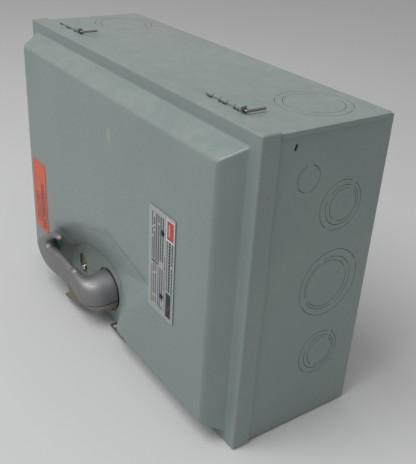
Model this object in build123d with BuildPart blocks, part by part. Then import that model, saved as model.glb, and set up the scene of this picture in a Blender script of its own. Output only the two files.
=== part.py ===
"""Fusible three-pole AC disconnect box, standing on its long side with the cover hinges on top.

Millimetres. +Z is up, the cover faces -Y, and +X is the line end, which is up when the box hangs on a wall.
"""

import os

from build123d import *

# --- driving dimensions -------------------------------------------------------------------------
LENGTH = 407.0  # along X, over the cover
HEIGHT = 288.0  # along Z, over the cover
DEPTH = 132.0  # back wall to the cover's flange
REACH = 35.0  # handle's reach in front of the cover's flange
SHEET = 1.5
GAP = 0.3  # play between neighbouring pieces that move apart
PIN_PLAY = 0.05  # radial running clearance at pins and shafts

FLANGE_Y = REACH - (DEPTH + REACH) / 2  # front plane of the cover's flange
BACK_Y = FLANGE_Y + DEPTH

# box
BOX_X = LENGTH / 2 - SHEET - GAP
BOX_LOW = SHEET + 0.9  # the cover's lower flange swings up a little as it opens
BOX_TOP = HEIGHT - SHEET - GAP
RIM_Y = FLANGE_Y + 3.0
LIP = 11.0
WALL_HOLE_R = 4.0
WALL_HOLE_X = 300.0
WALL_HOLE_Z = 200.0

MID_Z = HEIGHT / 2

# conduit knockouts: slit width, the tabs that hold the rings, and ring radii in trade sizes
SLIT = 0.45
TAB = 5.0
KO_2 = (31.35, 25.0, 21.85)  # 2, 1-1/2 and 1-1/4 in
KO_114 = (21.85, 17.25, 14.1)  # 1-1/4, 1 and 3/4 in
KO_12 = (11.1,)  # 1/2 in
KO_Y = FLANGE_Y + 88.0
KO_STEP = 72.0

# cover
RETURN = 17.0
BAND = 12.0
DOME = 20.5
FACE_INSET = 22.5
FACE_Y = FLANGE_Y - DOME
CORNER = 3.0

# hinges
HINGE_X = (-149.0, 131.0)
HINGE_LENGTH = 48.0
KNUCKLES = 5
WIRE_R = 1.1
KNUCKLE_R = 2.2
HINGE_Y = FLANGE_Y + RETURN + 3.6
HINGE_Z = BOX_TOP + KNUCKLE_R + 0.5
PIN_TAIL = 18.0

# handle
HUB_X = -28.0
HUB_Z = 37.0
HUB_HOLE_R = 24.3
HUB_R = 22.4
BARREL_R = 18.0
CATCH_X, CATCH_Z = 9.0, 7.6
ARM_BACK = FLANGE_Y - 21.5
ARM_FRONT = FLANGE_Y - REACH
ARM_END = HUB_X - 116.0
SHAFT_R = 8.0

# switch
POLE_PITCH = 58.0
POLES_Z = tuple(168.0 + POLE_PITCH * k for k in (-1, 0, 1))
BASE_FRONT = BACK_Y - 26.0
PIVOT_X = 12.0
PIVOT_Y = BASE_FRONT - 22.0
BLADE_LENGTH = 78.0
BLADE_OPEN = 55.0
JAW_X = PIVOT_X + BLADE_LENGTH - 12.0
CROSSBAR_REACH = 34.0
FUSE_R = 10.3
FUSE_LENGTH = 76.0
FUSE_MID_X = -66.0
FUSE_Y = BASE_FRONT - 19.0
CLIP_WIDTH = 14.0


def front(y):
    """Plane facing -Y at the given y, with X to the right and Z up."""
    return Plane.XZ.offset(-y)


def facing_x(x):
    """Plane facing +X at the given x, with Y to the right and Z up."""
    return Plane.YZ.offset(x)


def save(piece, name):
    """Label a finished sub-part and write its STEP file."""
    piece.part.label = name
    export_step(piece.part, f"parts/{name}.step")


def knockout(centre, radii, tab_turn=0.0, shift=0.0):
    """Draw the slits of a concentric knockout: thin rings, each held by two tabs."""
    for index, radius in enumerate(radii):
        turn = tab_turn + 90.0 * (index % 2)
        with Locations((centre[0] + shift * index, centre[1])):
            Circle(radius + SLIT / 2)
            Circle(radius - SLIT / 2, mode=Mode.SUBTRACT)
            Rectangle(2.4 * radius, TAB, rotation=turn, mode=Mode.SUBTRACT)


# --- points that outlines share -----------------------------------------------------------------
# The recess round the handle: its floor is level with the flange and its rim is on the cover's face.
RECESS_FLOOR = ((-131, -6), (-108, 50), (-71, 68), (-21, 72), (2, 60), (4, 40), (4, -6))
RECESS_RIM = ((-141, -6), (-112, 76), (-66, 101), (12, 125), (86, 110), (44, 66), (10, -6))

os.makedirs("parts", exist_ok=True)


# --- enclosure ----------------------------------------------------------------------------------
with BuildPart() as enclosure_shell:
    with BuildSketch(facing_x(-BOX_X)):
        with BuildLine():
            Polyline(
                (RIM_Y, BOX_LOW), (BACK_Y, BOX_LOW), (BACK_Y, BOX_TOP), (RIM_Y, BOX_TOP),
                (RIM_Y, BOX_TOP - LIP), (RIM_Y + SHEET, BOX_TOP - LIP), (RIM_Y + SHEET, BOX_TOP - SHEET),
                (BACK_Y - SHEET, BOX_TOP - SHEET), (BACK_Y - SHEET, BOX_LOW + SHEET),
                (RIM_Y + SHEET, BOX_LOW + SHEET), (RIM_Y + SHEET, BOX_LOW + LIP), (RIM_Y, BOX_LOW + LIP),
                close=True,
            )
        make_face()
    extrude(amount=2 * BOX_X)
    fillet(enclosure_shell.edges().filter_by(Axis.X).group_by(Axis.Y)[-1], radius=1.4)
    # conduit knockouts in the hinge side and in the opposite side
    with BuildSketch(Plane.XY.offset(BOX_TOP)):
        knockout((LENGTH / 2 - 46, KO_Y), KO_2[:2], tab_turn=35)
        knockout((46 - LENGTH / 2, KO_Y), KO_2[:2], tab_turn=35)
    extrude(amount=-SHEET, mode=Mode.SUBTRACT)
    with BuildSketch(Plane.XY.offset(BOX_LOW)):
        knockout((LENGTH / 2 - 46, KO_Y), KO_114[:2], tab_turn=35)
        knockout((46 - LENGTH / 2, KO_Y), KO_114[:2], tab_turn=35)
    extrude(amount=SHEET, mode=Mode.SUBTRACT)
    # knockouts and wall-screw holes in the back
    with BuildSketch(front(BACK_Y)):
        knockout((150, 60), KO_114[:2], tab_turn=20)
        knockout((-150, 60), KO_114[:2], tab_turn=20)
        with Locations((0, MID_Z)):
            with GridLocations(WALL_HOLE_X, WALL_HOLE_Z, 2, 2):
                Circle(WALL_HOLE_R)
    extrude(amount=SHEET, mode=Mode.SUBTRACT)
    # corner reliefs at the back of the hinge side
    with BuildSketch(Plane.XY.offset(BOX_TOP)):
        with Locations((BOX_X, BACK_Y), (-BOX_X, BACK_Y)):
            Rectangle(7, 5)
    extrude(amount=-SHEET, mode=Mode.SUBTRACT)
save(enclosure_shell, "enclosure_shell")

END_LOW = BOX_LOW + SHEET
END_TOP = BOX_TOP - SHEET
END_Y = (RIM_Y + SHEET, BACK_Y - SHEET)


def end_wall(side):
    """Build the end wall at +X (side 1) or -X (side -1), with its knockouts and its front lip."""
    inner = side * (BOX_X - SHEET)
    with BuildPart() as wall:
        with BuildSketch(facing_x(side * BOX_X)):
            with Locations(((END_Y[0] + END_Y[1]) / 2, (END_LOW + END_TOP) / 2)):
                Rectangle(END_Y[1] - END_Y[0], END_TOP - END_LOW)
        extrude(amount=-side * SHEET)
        with BuildSketch(front(END_Y[0])):
            with Locations((inner - side * (LIP - SHEET) / 2, MID_Z)):
                Rectangle(LIP - SHEET, END_TOP - END_LOW - 2 * LIP)
        extrude(amount=-SHEET)
        with BuildSketch(facing_x(side * BOX_X)):
            knockout((KO_Y, MID_Z), KO_2, tab_turn=25, shift=-1.3)
            knockout((KO_Y, MID_Z + KO_STEP), KO_114, tab_turn=60, shift=1.2)
            knockout((KO_Y, MID_Z - KO_STEP), KO_114, tab_turn=60, shift=1.2)
            knockout((FLANGE_Y + 50, HEIGHT - 42), KO_12, tab_turn=90)
            with Locations((FLANGE_Y + 33.5, HEIGHT - 14.5)):
                SlotOverall(5.6, 2.6, rotation=75)
        extrude(amount=-side * SHEET, mode=Mode.SUBTRACT)
    return wall


line_end_wall = end_wall(1)
save(line_end_wall, "line_end_wall")
load_end_wall = end_wall(-1)
save(load_end_wall, "load_end_wall")

# The folded-down lips of the hinge side lie over the top edges of both end walls.
SEAM_LIP = 4.0
with BuildPart() as seam_lips:
    for side in (1, -1):
        lip_front, lip_back = FLANGE_Y + RETURN + 1, BACK_Y - 4
        with BuildSketch(facing_x(side * BOX_X)):
            with Locations(((lip_front + lip_back) / 2, BOX_TOP - SEAM_LIP / 2)):
                Rectangle(lip_back - lip_front, SEAM_LIP)
        extrude(amount=side * (SHEET - 0.4))
save(seam_lips, "seam_lips")

# --- hinges -------------------------------------------------------------------------------------
STEP_X = HINGE_LENGTH / KNUCKLES


def knuckle_row(which):
    """Give the X centres of the knuckles of one side of both hinges: 0 for the box, 1 for the cover."""
    return [
        hinge + (k - (KNUCKLES - 1) / 2) * STEP_X
        for hinge in HINGE_X
        for k in range(KNUCKLES)
        if k % 2 == which
    ]


with BuildPart() as hinge_loops:
    for x in knuckle_row(0):
        width = STEP_X - 2 * GAP
        with BuildSketch(facing_x(x - width / 2)):
            with Locations((HINGE_Y, HINGE_Z)):
                Circle(KNUCKLE_R)
            with Locations((HINGE_Y + KNUCKLE_R / 2, (HINGE_Z + BOX_TOP) / 2)):
                Rectangle(KNUCKLE_R, HINGE_Z - BOX_TOP)
            with Locations((HINGE_Y, HINGE_Z)):
                Circle(WIRE_R + PIN_PLAY, mode=Mode.SUBTRACT)
        extrude(amount=width)
save(hinge_loops, "hinge_loops")

with BuildPart() as cover_knuckles:
    for x in knuckle_row(1):
        width = STEP_X - 2 * GAP
        with BuildSketch(facing_x(x - width / 2)):
            with Locations((HINGE_Y, HINGE_Z)):
                Circle(KNUCKLE_R)
            tab_back = HINGE_Y
            with Locations(((FLANGE_Y + RETURN + tab_back) / 2, HEIGHT - SHEET / 2)):
                Rectangle(tab_back - FLANGE_Y - RETURN, SHEET)
            with Locations((HINGE_Y, HINGE_Z)):
                Circle(WIRE_R + PIN_PLAY, mode=Mode.SUBTRACT)
        extrude(amount=width)
save(cover_knuckles, "cover_knuckles")

with BuildPart() as hinge_pins:
    for x in HINGE_X:
        low, high = x - HINGE_LENGTH / 2 - 1, x + HINGE_LENGTH / 2 + 3
        bend = 2.2
        with BuildSketch(Plane(origin=(low, HINGE_Y, HINGE_Z), z_dir=(1, 0, 0))):
            Circle(WIRE_R)
        extrude(amount=high - bend - low)
        with BuildSketch(Plane(origin=(high - bend, HINGE_Y, HINGE_Z), z_dir=(1, 0, 0))):
            Circle(WIRE_R)
        revolve(axis=Axis((high - bend, HINGE_Y + bend, HINGE_Z), (0, 0, 1)), revolution_arc=90)
        with BuildSketch(Plane(origin=(high, HINGE_Y + bend, HINGE_Z), z_dir=(0, 1, 0))):
            Circle(WIRE_R)
        extrude(amount=PIN_TAIL - bend)
save(hinge_pins, "hinge_pins")

# --- cover --------------------------------------------------------------------------------------


def pan(inset, corner):
    """Draw the cover's drawn pan as a solid, moved in from its outer faces by the given sheet depth."""
    with BuildPart() as shape:
        with BuildSketch(front(FLANGE_Y + inset)):
            with Locations((0, MID_Z)):
                RectangleRounded(LENGTH - 2 * inset, HEIGHT - 2 * inset, corner)
        extrude(amount=inset - RETURN)
        with BuildSketch(front(FLANGE_Y + inset)):
            with Locations((0, MID_Z)):
                RectangleRounded(LENGTH - 2 * (BAND + inset), HEIGHT - 2 * (BAND + inset), 4)
        with BuildSketch(front(FACE_Y + inset)):
            with Locations((0, MID_Z)):
                RectangleRounded(LENGTH - 2 * (FACE_INSET + inset), HEIGHT - 2 * (FACE_INSET + inset), 6)
        loft()
    return shape.part


def recess(spread):
    """Draw the recess as a solid to cut away, grown on all sides by the given sheet depth."""
    with BuildPart() as shape:
        with BuildSketch(front(FLANGE_Y + spread)):
            with BuildLine():
                Polyline(*RECESS_FLOOR, close=True)
            make_face()
            if spread:
                offset(amount=spread, kind=Kind.INTERSECTION)
        with BuildSketch(front(FACE_Y - 1)):
            with BuildLine():
                Polyline(*RECESS_RIM, close=True)
            make_face()
            if spread:
                offset(amount=spread, kind=Kind.INTERSECTION)
        loft(ruled=True)
    return shape.part


SLOT_X, SLOT_Z = HUB_X - 63.0, 37.0
WELD_HOLES = ((SLOT_X - 9, 62), (SLOT_X + 9, 62))
cover_core = pan(SHEET, 0.6) - recess(SHEET)
with BuildPart() as cover:
    add(pan(0, CORNER))
    add(recess(0), mode=Mode.SUBTRACT)
    add(cover_core, mode=Mode.SUBTRACT)
    with BuildSketch(front(FLANGE_Y + 2 * SHEET)):
        with Locations((HUB_X, HUB_Z)):
            Circle(HUB_HOLE_R)
        with Locations((SLOT_X, SLOT_Z)):
            SlotOverall(23, 19, rotation=90)
        with Locations(*WELD_HOLES):
            Circle(1.2)
    extrude(amount=DOME, mode=Mode.SUBTRACT)
    # window in the flange for the box's catch
    with BuildSketch(front(FLANGE_Y + 2 * SHEET)):
        with Locations((CATCH_X, CATCH_Z)):
            Rectangle(33, 4.2)
    extrude(amount=3 * SHEET, mode=Mode.SUBTRACT)
save(cover, "cover")

LABEL_X, LABEL_Z, LABEL_W, LABEL_H = 112.3, 146.0, 41.0, 100.0
with BuildPart() as rating_plate:
    with BuildSketch(front(FACE_Y)):
        with Locations((LABEL_X, LABEL_Z)):
            RectangleRounded(LABEL_W, LABEL_H, 1.2)
    extrude(amount=0.5)
    with Locations(*[Location((LABEL_X + 1, FACE_Y, LABEL_Z + s * 31), (90, 0, 0)) for s in (1, -1)]):
        Cylinder(1.6, 4, mode=Mode.SUBTRACT)
save(rating_plate, "rating_plate")

with BuildPart() as plate_rivets:
    for s in (1, -1):
        with BuildSketch(front(FACE_Y - 0.5)):
            with Locations((LABEL_X + 1, LABEL_Z + s * 31)):
                Circle(2.6)
        extrude(amount=0.9)
save(plate_rivets, "plate_rivets")

STICKER_X, STICKER_Z = -157.0, 97.5
with BuildPart() as warning_sticker:
    with BuildSketch(front(FACE_Y)):
        with Locations((STICKER_X, STICKER_Z)):
            RectangleRounded(36, 87, 5)
    extrude(amount=0.25)
save(warning_sticker, "warning_sticker")

# A flanged bushing behind the recess floor carries the handle's shaft.
with BuildPart() as shaft_bushing:
    with BuildSketch(front(FLANGE_Y + SHEET)):
        with Locations((HUB_X, HUB_Z)):
            Circle(29)
            Circle(SHAFT_R + PIN_PLAY, mode=Mode.SUBTRACT)
    extrude(amount=-3)
    with BuildSketch(front(FLANGE_Y + SHEET + 3)):
        with Locations((HUB_X, HUB_Z)):
            Circle(14)
            Circle(SHAFT_R + PIN_PLAY, mode=Mode.SUBTRACT)
    extrude(amount=-9)
    with BuildSketch(front(RIM_Y - GAP)):
        with Locations((HUB_X, 0)):
            Rectangle(80, 2 * (BOX_LOW + LIP + GAP))
    extrude(amount=-20, mode=Mode.SUBTRACT)
save(shaft_bushing, "shaft_bushing")

# --- handle -------------------------------------------------------------------------------------
HANDLE_CROWN = 8.0
HASP_Y = FLANGE_Y - 26.7
HASP_T = 1.6
HASP_SEAT = 1.5
HASP_PIVOT = (HUB_X - 18.0, HUB_Z - 1.0)
with BuildPart() as handle:
    with BuildSketch(front(FLANGE_Y + 0.6)):
        with Locations((HUB_X, HUB_Z)):
            Circle(HUB_R)
    with BuildSketch(front(ARM_FRONT + HANDLE_CROWN)):
        with Locations((HUB_X, HUB_Z)):
            Circle(BARREL_R)
    loft()
    with BuildSketch(front(ARM_BACK)):
        with BuildLine():
            Polyline(
                (HUB_X + 14, HUB_Z - 12), (HUB_X - 20, HUB_Z - 7.5), (ARM_END + 44, HUB_Z - 10.4),
                (ARM_END + 20, HUB_Z - 8), (ARM_END + 6, HUB_Z - 1.5), (ARM_END, HUB_Z + 8),
                (ARM_END + 1, HUB_Z + 15), (ARM_END + 6, HUB_Z + 20), (ARM_END + 24, HUB_Z + 31.5),
                (ARM_END + 40, HUB_Z + 41), (ARM_END + 50, HUB_Z + 44), (ARM_END + 57, HUB_Z + 43),
                (ARM_END + 56, HUB_Z + 38.5), (ARM_END + 46, HUB_Z + 35), (ARM_END + 31, HUB_Z + 24),
                (ARM_END + 36, HUB_Z + 23), (HUB_X - 24, HUB_Z + 19.5), (HUB_X + 12, HUB_Z + 17),
                (HUB_X + 17, HUB_Z + 1),
                close=True,
            )
        make_face()
    extrude(amount=ARM_BACK - ARM_FRONT)
    fillet(handle.faces().filter_by(Axis.Y).sort_by(Axis.Y)[0].edges(), radius=1.5)
    # the barrel is hollow behind, and the shaft's socket stands in it
    with BuildSketch(front(FLANGE_Y + 0.6)):
        with Locations((HUB_X, HUB_Z)):
            Circle(BARREL_R - 3.5)
            Circle(SHAFT_R + 4, mode=Mode.SUBTRACT)
    extrude(amount=26, mode=Mode.SUBTRACT)
    with BuildSketch(front(FLANGE_Y + 0.6)):
        with Locations((HUB_X, HUB_Z)):
            Circle(SHAFT_R)
    extrude(amount=26, mode=Mode.SUBTRACT)
    # a slot in the arm, open below, holds the hasp and its pin
    with BuildSketch(front(HASP_Y + GAP)):
        with Locations((HUB_X - 31, HUB_Z - 7)):
            Rectangle(50, 32)
    extrude(amount=HASP_T + 2 * GAP, mode=Mode.SUBTRACT)
    with BuildSketch(front(HASP_Y + HASP_SEAT)):
        with Locations(HASP_PIVOT):
            Circle(2)
    extrude(amount=HASP_T + 3 * HASP_SEAT, mode=Mode.SUBTRACT)
save(handle, "handle")

SHAFT_BACK = FLANGE_Y + 34.0
DOG_LENGTH = 30.0
with BuildPart() as handle_shaft:
    with BuildSketch(front(SHAFT_BACK)):
        with Locations((HUB_X, HUB_Z)):
            Circle(SHAFT_R)
    extrude(amount=SHAFT_BACK - FLANGE_Y + 25.4)
save(handle_shaft, "handle_shaft")

with BuildPart() as shaft_clip:
    with BuildSketch(front(FLANGE_Y + SHEET + 12 + GAP)):
        with Locations((HUB_X, HUB_Z)):
            Circle(SHAFT_R + 3)
            Circle(SHAFT_R, mode=Mode.SUBTRACT)
            Rectangle(6, 2 * SHAFT_R + 8, align=(Align.CENTER, Align.MAX), mode=Mode.SUBTRACT)
    extrude(amount=-1.2)
save(shaft_clip, "shaft_clip")

with BuildPart() as drive_dog:
    with BuildSketch(front(SHAFT_BACK)):
        with Locations((HUB_X, HUB_Z)):
            RectangleRounded(DOG_LENGTH, 9, 3)
    extrude(amount=-4)
save(drive_dog, "drive_dog")

# --- padlock hasp in the handle's arm -------------------------------------------------------------
with BuildPart() as hasp_plate:
    with BuildSketch(front(HASP_Y)):
        with BuildLine():
            Polyline(
                (HUB_X - 12, HUB_Z + 3), (HUB_X - 10, HUB_Z - 18), (HUB_X - 26, HUB_Z - 24.4),
                (HUB_X - 40, HUB_Z - 27.4), (HUB_X - 51, HUB_Z - 28.6), (HUB_X - 53, HUB_Z - 27),
                (HUB_X - 43, HUB_Z - 19), (HUB_X - 41.5, HUB_Z - 16), (HUB_X - 48, HUB_Z - 11),
                (HUB_X - 49, HUB_Z - 3), (HUB_X - 32, HUB_Z + 3),
                close=True,
            )
        make_face()
        with Locations(HASP_PIVOT):
            Circle(2 + PIN_PLAY, mode=Mode.SUBTRACT)
    extrude(amount=HASP_T)
save(hasp_plate, "hasp_plate")

with BuildPart() as hasp_rivet:
    with BuildSketch(front(HASP_Y + HASP_SEAT)):
        with Locations(HASP_PIVOT):
            Circle(2)
    extrude(amount=HASP_T + 3 * HASP_SEAT)
save(hasp_rivet, "hasp_rivet")

# --- cover catch on the box ---------------------------------------------------------------------
with BuildPart() as cover_catch:
    with BuildSketch(Plane.XY.offset(CATCH_Z - 0.9)):
        with Locations((CATCH_X, FLANGE_Y - 4.0)):
            Rectangle(28, 14)
        with Locations((CATCH_X - 9, FLANGE_Y - 6.4)):
            Rectangle(6.4, 6.4, mode=Mode.SUBTRACT)
    extrude(amount=1.8)
    with BuildSketch(front(RIM_Y)):
        with Locations((CATCH_X, CATCH_Z - 0.9 + 1.6)):
            Rectangle(28, 5)
    extrude(amount=1.2)
save(cover_catch, "cover_catch")

# --- interlock behind the recess floor ----------------------------------------------------------
INTERLOCK_PIVOT = (SLOT_X - 16.0, SLOT_Z + 14.0)
INTERLOCK_Y = FLANGE_Y + SHEET + GAP
with BuildPart() as interlock_lever:
    with BuildSketch(front(INTERLOCK_Y + 1.5)):
        with Locations((SLOT_X, SLOT_Z + 2)):
            RectangleRounded(46, 38, 4)
        with Locations(INTERLOCK_PIVOT):
            Circle(2.5 + PIN_PLAY, mode=Mode.SUBTRACT)
    extrude(amount=1.5)
save(interlock_lever, "interlock_lever")

with BuildPart() as defeat_screw:
    with BuildSketch(front(INTERLOCK_Y)):
        with Locations((SLOT_X + 2.5, SLOT_Z - 4)):
            Circle(3.4)
    extrude(amount=3.4)
    fillet(defeat_screw.faces().sort_by(Axis.Y)[0].edges(), radius=1.2)
    with BuildSketch(front(INTERLOCK_Y - 3.4)):
        with Locations((SLOT_X + 2.5, SLOT_Z - 4)):
            Rectangle(0.9, 8, rotation=30)
    extrude(amount=-1.2, mode=Mode.SUBTRACT)
save(defeat_screw, "defeat_screw")

with BuildPart() as interlock_stud:
    with BuildSketch(front(FLANGE_Y + SHEET)):
        with Locations(INTERLOCK_PIVOT):
            Circle(2.5)
    extrude(amount=-3.6)
    with BuildSketch(front(FLANGE_Y + SHEET + 2.4)):
        with Locations(INTERLOCK_PIVOT):
            Circle(5)
    extrude(amount=-1.2)
save(interlock_stud, "interlock_stud")

# --- switch base and its contacts ---------------------------------------------------------------
BASE_BACK = BACK_Y - SHEET
BASE_X = (-168.0, 158.0)
BASE_Z = (POLES_Z[0] - 31.0, POLES_Z[2] + 31.0)
BASE_SCREWS = [(x, z) for x in (BASE_X[0] + 8, BASE_X[1] - 8) for z in (BASE_Z[0] + 8, BASE_Z[1] - 8)]
RIB = 8.0
RIB_X, RIB_LENGTH = -16.5, 287.0
with BuildPart() as switch_base:
    with BuildSketch(front(BASE_BACK)):
        with Locations(((BASE_X[0] + BASE_X[1]) / 2, (BASE_Z[0] + BASE_Z[1]) / 2)):
            RectangleRounded(BASE_X[1] - BASE_X[0], BASE_Z[1] - BASE_Z[0], 6)
        with Locations(*BASE_SCREWS):
            Circle(2.6, mode=Mode.SUBTRACT)
    extrude(amount=BASE_BACK - BASE_FRONT)
    # raised ribs beside each pole
    with BuildSketch(front(BASE_FRONT)):
        for z in [POLES_Z[0] + POLE_PITCH * (k - 0.5) for k in (1, 2)]:
            with Locations((RIB_X, z)):
                Rectangle(RIB_LENGTH, 3)
    extrude(amount=RIB)
save(switch_base, "switch_base")

with BuildPart() as base_screws:
    with Locations(*[Location((x, BASE_FRONT - 1.5, z), (90, 0, 0)) for x, z in BASE_SCREWS]):
        Cylinder(5, 3)
    with Locations(*[Location((x, BASE_FRONT + 10, z), (90, 0, 0)) for x, z in BASE_SCREWS]):
        Cylinder(2.5, 20)
save(base_screws, "base_screws")

LUG = (24.0, 18.0, 20.0)
LUG_X = {"line": 128.0, "load": -146.0}
LUG_Y = BASE_FRONT - 3.0 - LUG[1] / 2
BUS_T = 3.0


def wire_lugs(x, entry):
    """Build three box lugs at the given X, each with a wire bore along X and a screw hole on top."""
    with BuildPart() as lugs:
        with Locations(*[(x, LUG_Y, z) for z in POLES_Z]):
            Box(*LUG)
        chamfer(lugs.edges().filter_by(Axis.X), length=1.5)
        with Locations(*[Location((x + entry, LUG_Y, z), (0, 90, 0)) for z in POLES_Z]):
            Cylinder(6, LUG[0], mode=Mode.SUBTRACT)
        with Locations(*[Location((x, LUG_Y - LUG[1] / 2, z), (90, 0, 0)) for z in POLES_Z]):
            Cylinder(4.5, LUG[1], mode=Mode.SUBTRACT)
    return lugs


def lug_screws(x):
    """Build the three wire-binding screws of a row of lugs, each with a hexagon socket."""
    with BuildPart() as screws:
        for z in POLES_Z:
            with BuildSketch(front(LUG_Y - LUG[1] / 2 + 3)):
                with Locations((x, z)):
                    Circle(4.5)
            extrude(amount=7)
            with BuildSketch(front(LUG_Y - LUG[1] / 2 - 4)):
                with Locations((x, z)):
                    RegularPolygon(2.6, 6)
            extrude(amount=-4, mode=Mode.SUBTRACT)
    return screws


line_lugs = wire_lugs(LUG_X["line"], 3)
save(line_lugs, "line_lugs")
load_lugs = wire_lugs(LUG_X["load"], -3)
save(load_lugs, "load_lugs")
line_lug_screws = lug_screws(LUG_X["line"])
save(line_lug_screws, "line_lug_screws")
load_lug_screws = lug_screws(LUG_X["load"])
save(load_lug_screws, "load_lug_screws")

BLADE_T = 3.2
BLADE_W = 16.0
with BuildPart() as line_jaws:
    for z in POLES_Z:
        bus_end = LUG_X["line"] + LUG[0] / 2
        with BuildSketch(front(BASE_FRONT)):
            with Locations(((JAW_X - 10 + bus_end) / 2, z)):
                Rectangle(bus_end - JAW_X + 10, 16)
        extrude(amount=BUS_T)
        for s in (1, -1):
            with BuildSketch(front(BASE_FRONT - BUS_T)):
                with Locations((JAW_X, z + s * (BLADE_T / 2 + GAP + 1))):
                    Rectangle(18, 2)
            extrude(amount=30)
save(line_jaws, "line_jaws")

with BuildPart() as pivot_jaws:
    for z in POLES_Z:
        with BuildSketch(front(BASE_FRONT)):
            with Locations((PIVOT_X - 14, z)):
                Rectangle(46, 16)
        extrude(amount=BUS_T)
        for s in (1, -1):
            with BuildSketch(Plane.XY.offset(z + s * (BLADE_T / 2 + GAP + 1) - 1)):
                with Locations((PIVOT_X, (BASE_FRONT - BUS_T + PIVOT_Y) / 2)):
                    Rectangle(16, BASE_FRONT - BUS_T - PIVOT_Y)
                with Locations((PIVOT_X, PIVOT_Y)):
                    Circle(8)
                    Circle(3, mode=Mode.SUBTRACT)
            extrude(amount=2)
save(pivot_jaws, "pivot_jaws")

with BuildPart() as pivot_pins:
    for z in POLES_Z:
        with BuildSketch(Plane.XY.offset(z - 6)):
            with Locations((PIVOT_X, PIVOT_Y)):
                Circle(3)
        extrude(amount=12)
save(pivot_pins, "pivot_pins")

with BuildPart() as switch_blades:
    for z in POLES_Z:
        blade_plane = Plane.XY.offset(z - BLADE_T / 2)
        blade_plane.origin = (PIVOT_X, PIVOT_Y, z - BLADE_T / 2)
        with BuildSketch(blade_plane.rotated((0, 0, -BLADE_OPEN))):
            with Locations((BLADE_LENGTH / 2, 0)):
                Rectangle(BLADE_LENGTH, BLADE_W)
            Circle(BLADE_W / 2)
            Circle(3 + PIN_PLAY, mode=Mode.SUBTRACT)
        extrude(amount=BLADE_T)
save(switch_blades, "switch_blades")

BAR = 15.0
BAR_Z = (70.0, POLES_Z[2] + 22.0)
bar_plane = Plane((PIVOT_X, PIVOT_Y, BAR_Z[0]), x_dir=(1, 0, 0), z_dir=(0, 0, 1))
bar_plane = bar_plane.rotated((0, 0, -BLADE_OPEN))
with BuildPart() as crossbar:
    with BuildSketch(bar_plane):
        with Locations((CROSSBAR_REACH, 0)):
            RectangleRounded(BAR, BLADE_W + 8, 3)
    extrude(amount=BAR_Z[1] - BAR_Z[0])
    for z in POLES_Z:
        with BuildSketch(bar_plane.offset(z - BLADE_T / 2 - BAR_Z[0])):
            with Locations((CROSSBAR_REACH, 0)):
                Rectangle(BAR + 2, BLADE_W)
        extrude(amount=BLADE_T, mode=Mode.SUBTRACT)
save(crossbar, "crossbar")

# A steel end arm joins the bar to its own pivot beside the drive.
ARM_PLATE_Z = 66.0
with BuildPart() as crossbar_arm:
    with BuildSketch(bar_plane.offset(ARM_PLATE_Z - BAR_Z[0])):
        with Locations((CROSSBAR_REACH / 2 + 4, 0)):
            RectangleRounded(CROSSBAR_REACH + 24, 15, 7)
        Circle(4 + PIN_PLAY, mode=Mode.SUBTRACT)
    extrude(amount=3)
    with BuildSketch(bar_plane.offset(ARM_PLATE_Z - BAR_Z[0] + 3)):
        with Locations((CROSSBAR_REACH, 0)):
            Circle(4)
    extrude(amount=1)
save(crossbar_arm, "crossbar_arm")

# --- drive between the handle and the crossbar --------------------------------------------------
YOKE_Y = SHAFT_BACK + 4 + GAP
with BuildPart() as mechanism_frame:
    with BuildSketch(Plane.XY.offset(ARM_PLATE_Z - 4)):
        with Locations((PIVOT_X - 20, (PIVOT_Y - 12 + BASE_BACK) / 2)):
            Rectangle(90, BASE_BACK - PIVOT_Y + 12)
    extrude(amount=2)
    with BuildSketch(front(BASE_BACK)):
        with Locations((PIVOT_X - 20, (ARM_PLATE_Z - 4 + 10) / 2)):
            Rectangle(90, ARM_PLATE_Z - 4 - 10)
    extrude(amount=2)
    with BuildSketch(front(YOKE_Y + 12)):
        with Locations((HUB_X, (ARM_PLATE_Z - 4 + 16) / 2)):
            Rectangle(56, ARM_PLATE_Z - 4 - 16)
        with Locations((HUB_X, HUB_Z)):
            Circle(6 + PIN_PLAY, mode=Mode.SUBTRACT)
    extrude(amount=2)
    with BuildSketch(Plane.XY.offset(ARM_PLATE_Z - 4)):
        with Locations((HUB_X, (YOKE_Y + 10 + PIVOT_Y - 12) / 2)):
            Rectangle(56, PIVOT_Y - 12 - YOKE_Y - 10)
    extrude(amount=2)
save(mechanism_frame, "mechanism_frame")

with BuildPart() as crossbar_stub:
    with BuildSketch(Plane.XY.offset(ARM_PLATE_Z - 2)):
        with Locations((PIVOT_X, PIVOT_Y)):
            Circle(4)
    extrude(amount=5.4)
save(crossbar_stub, "crossbar_stub")

with BuildPart() as drive_yoke:
    with BuildSketch(front(YOKE_Y + 4)):
        with Locations((HUB_X, HUB_Z)):
            Circle(20)
            Rectangle(DOG_LENGTH + 12, 10, mode=Mode.SUBTRACT)
    extrude(amount=8)
    with BuildSketch(front(YOKE_Y + 9.5)):
        with Locations((HUB_X, HUB_Z)):
            Circle(20)
    extrude(amount=5.5)
    with BuildSketch(front(YOKE_Y + 9.5)):
        with Locations((HUB_X, HUB_Z)):
            Circle(6)
    extrude(amount=-12)
save(drive_yoke, "drive_yoke")

with BuildPart() as yoke_spring:
    with BuildLine() as coil:
        Helix(pitch=2.2, height=8.8, radius=9, center=(HUB_X, YOKE_Y + 13.5, HUB_Z), direction=(0, 1, 0))
    with BuildSketch(Plane(origin=coil.line @ 0, z_dir=coil.line % 0)):
        Circle(0.9)
    sweep(path=coil.line, is_frenet=True)
save(yoke_spring, "yoke_spring")

# --- fuses, clips and barriers ------------------------------------------------------------------
CLIP_REACH = (FUSE_LENGTH - CLIP_WIDTH) / 2
CLIP_X = {"line": FUSE_MID_X + CLIP_REACH, "load": FUSE_MID_X - CLIP_REACH}
CLIP_T = 1.2


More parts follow.
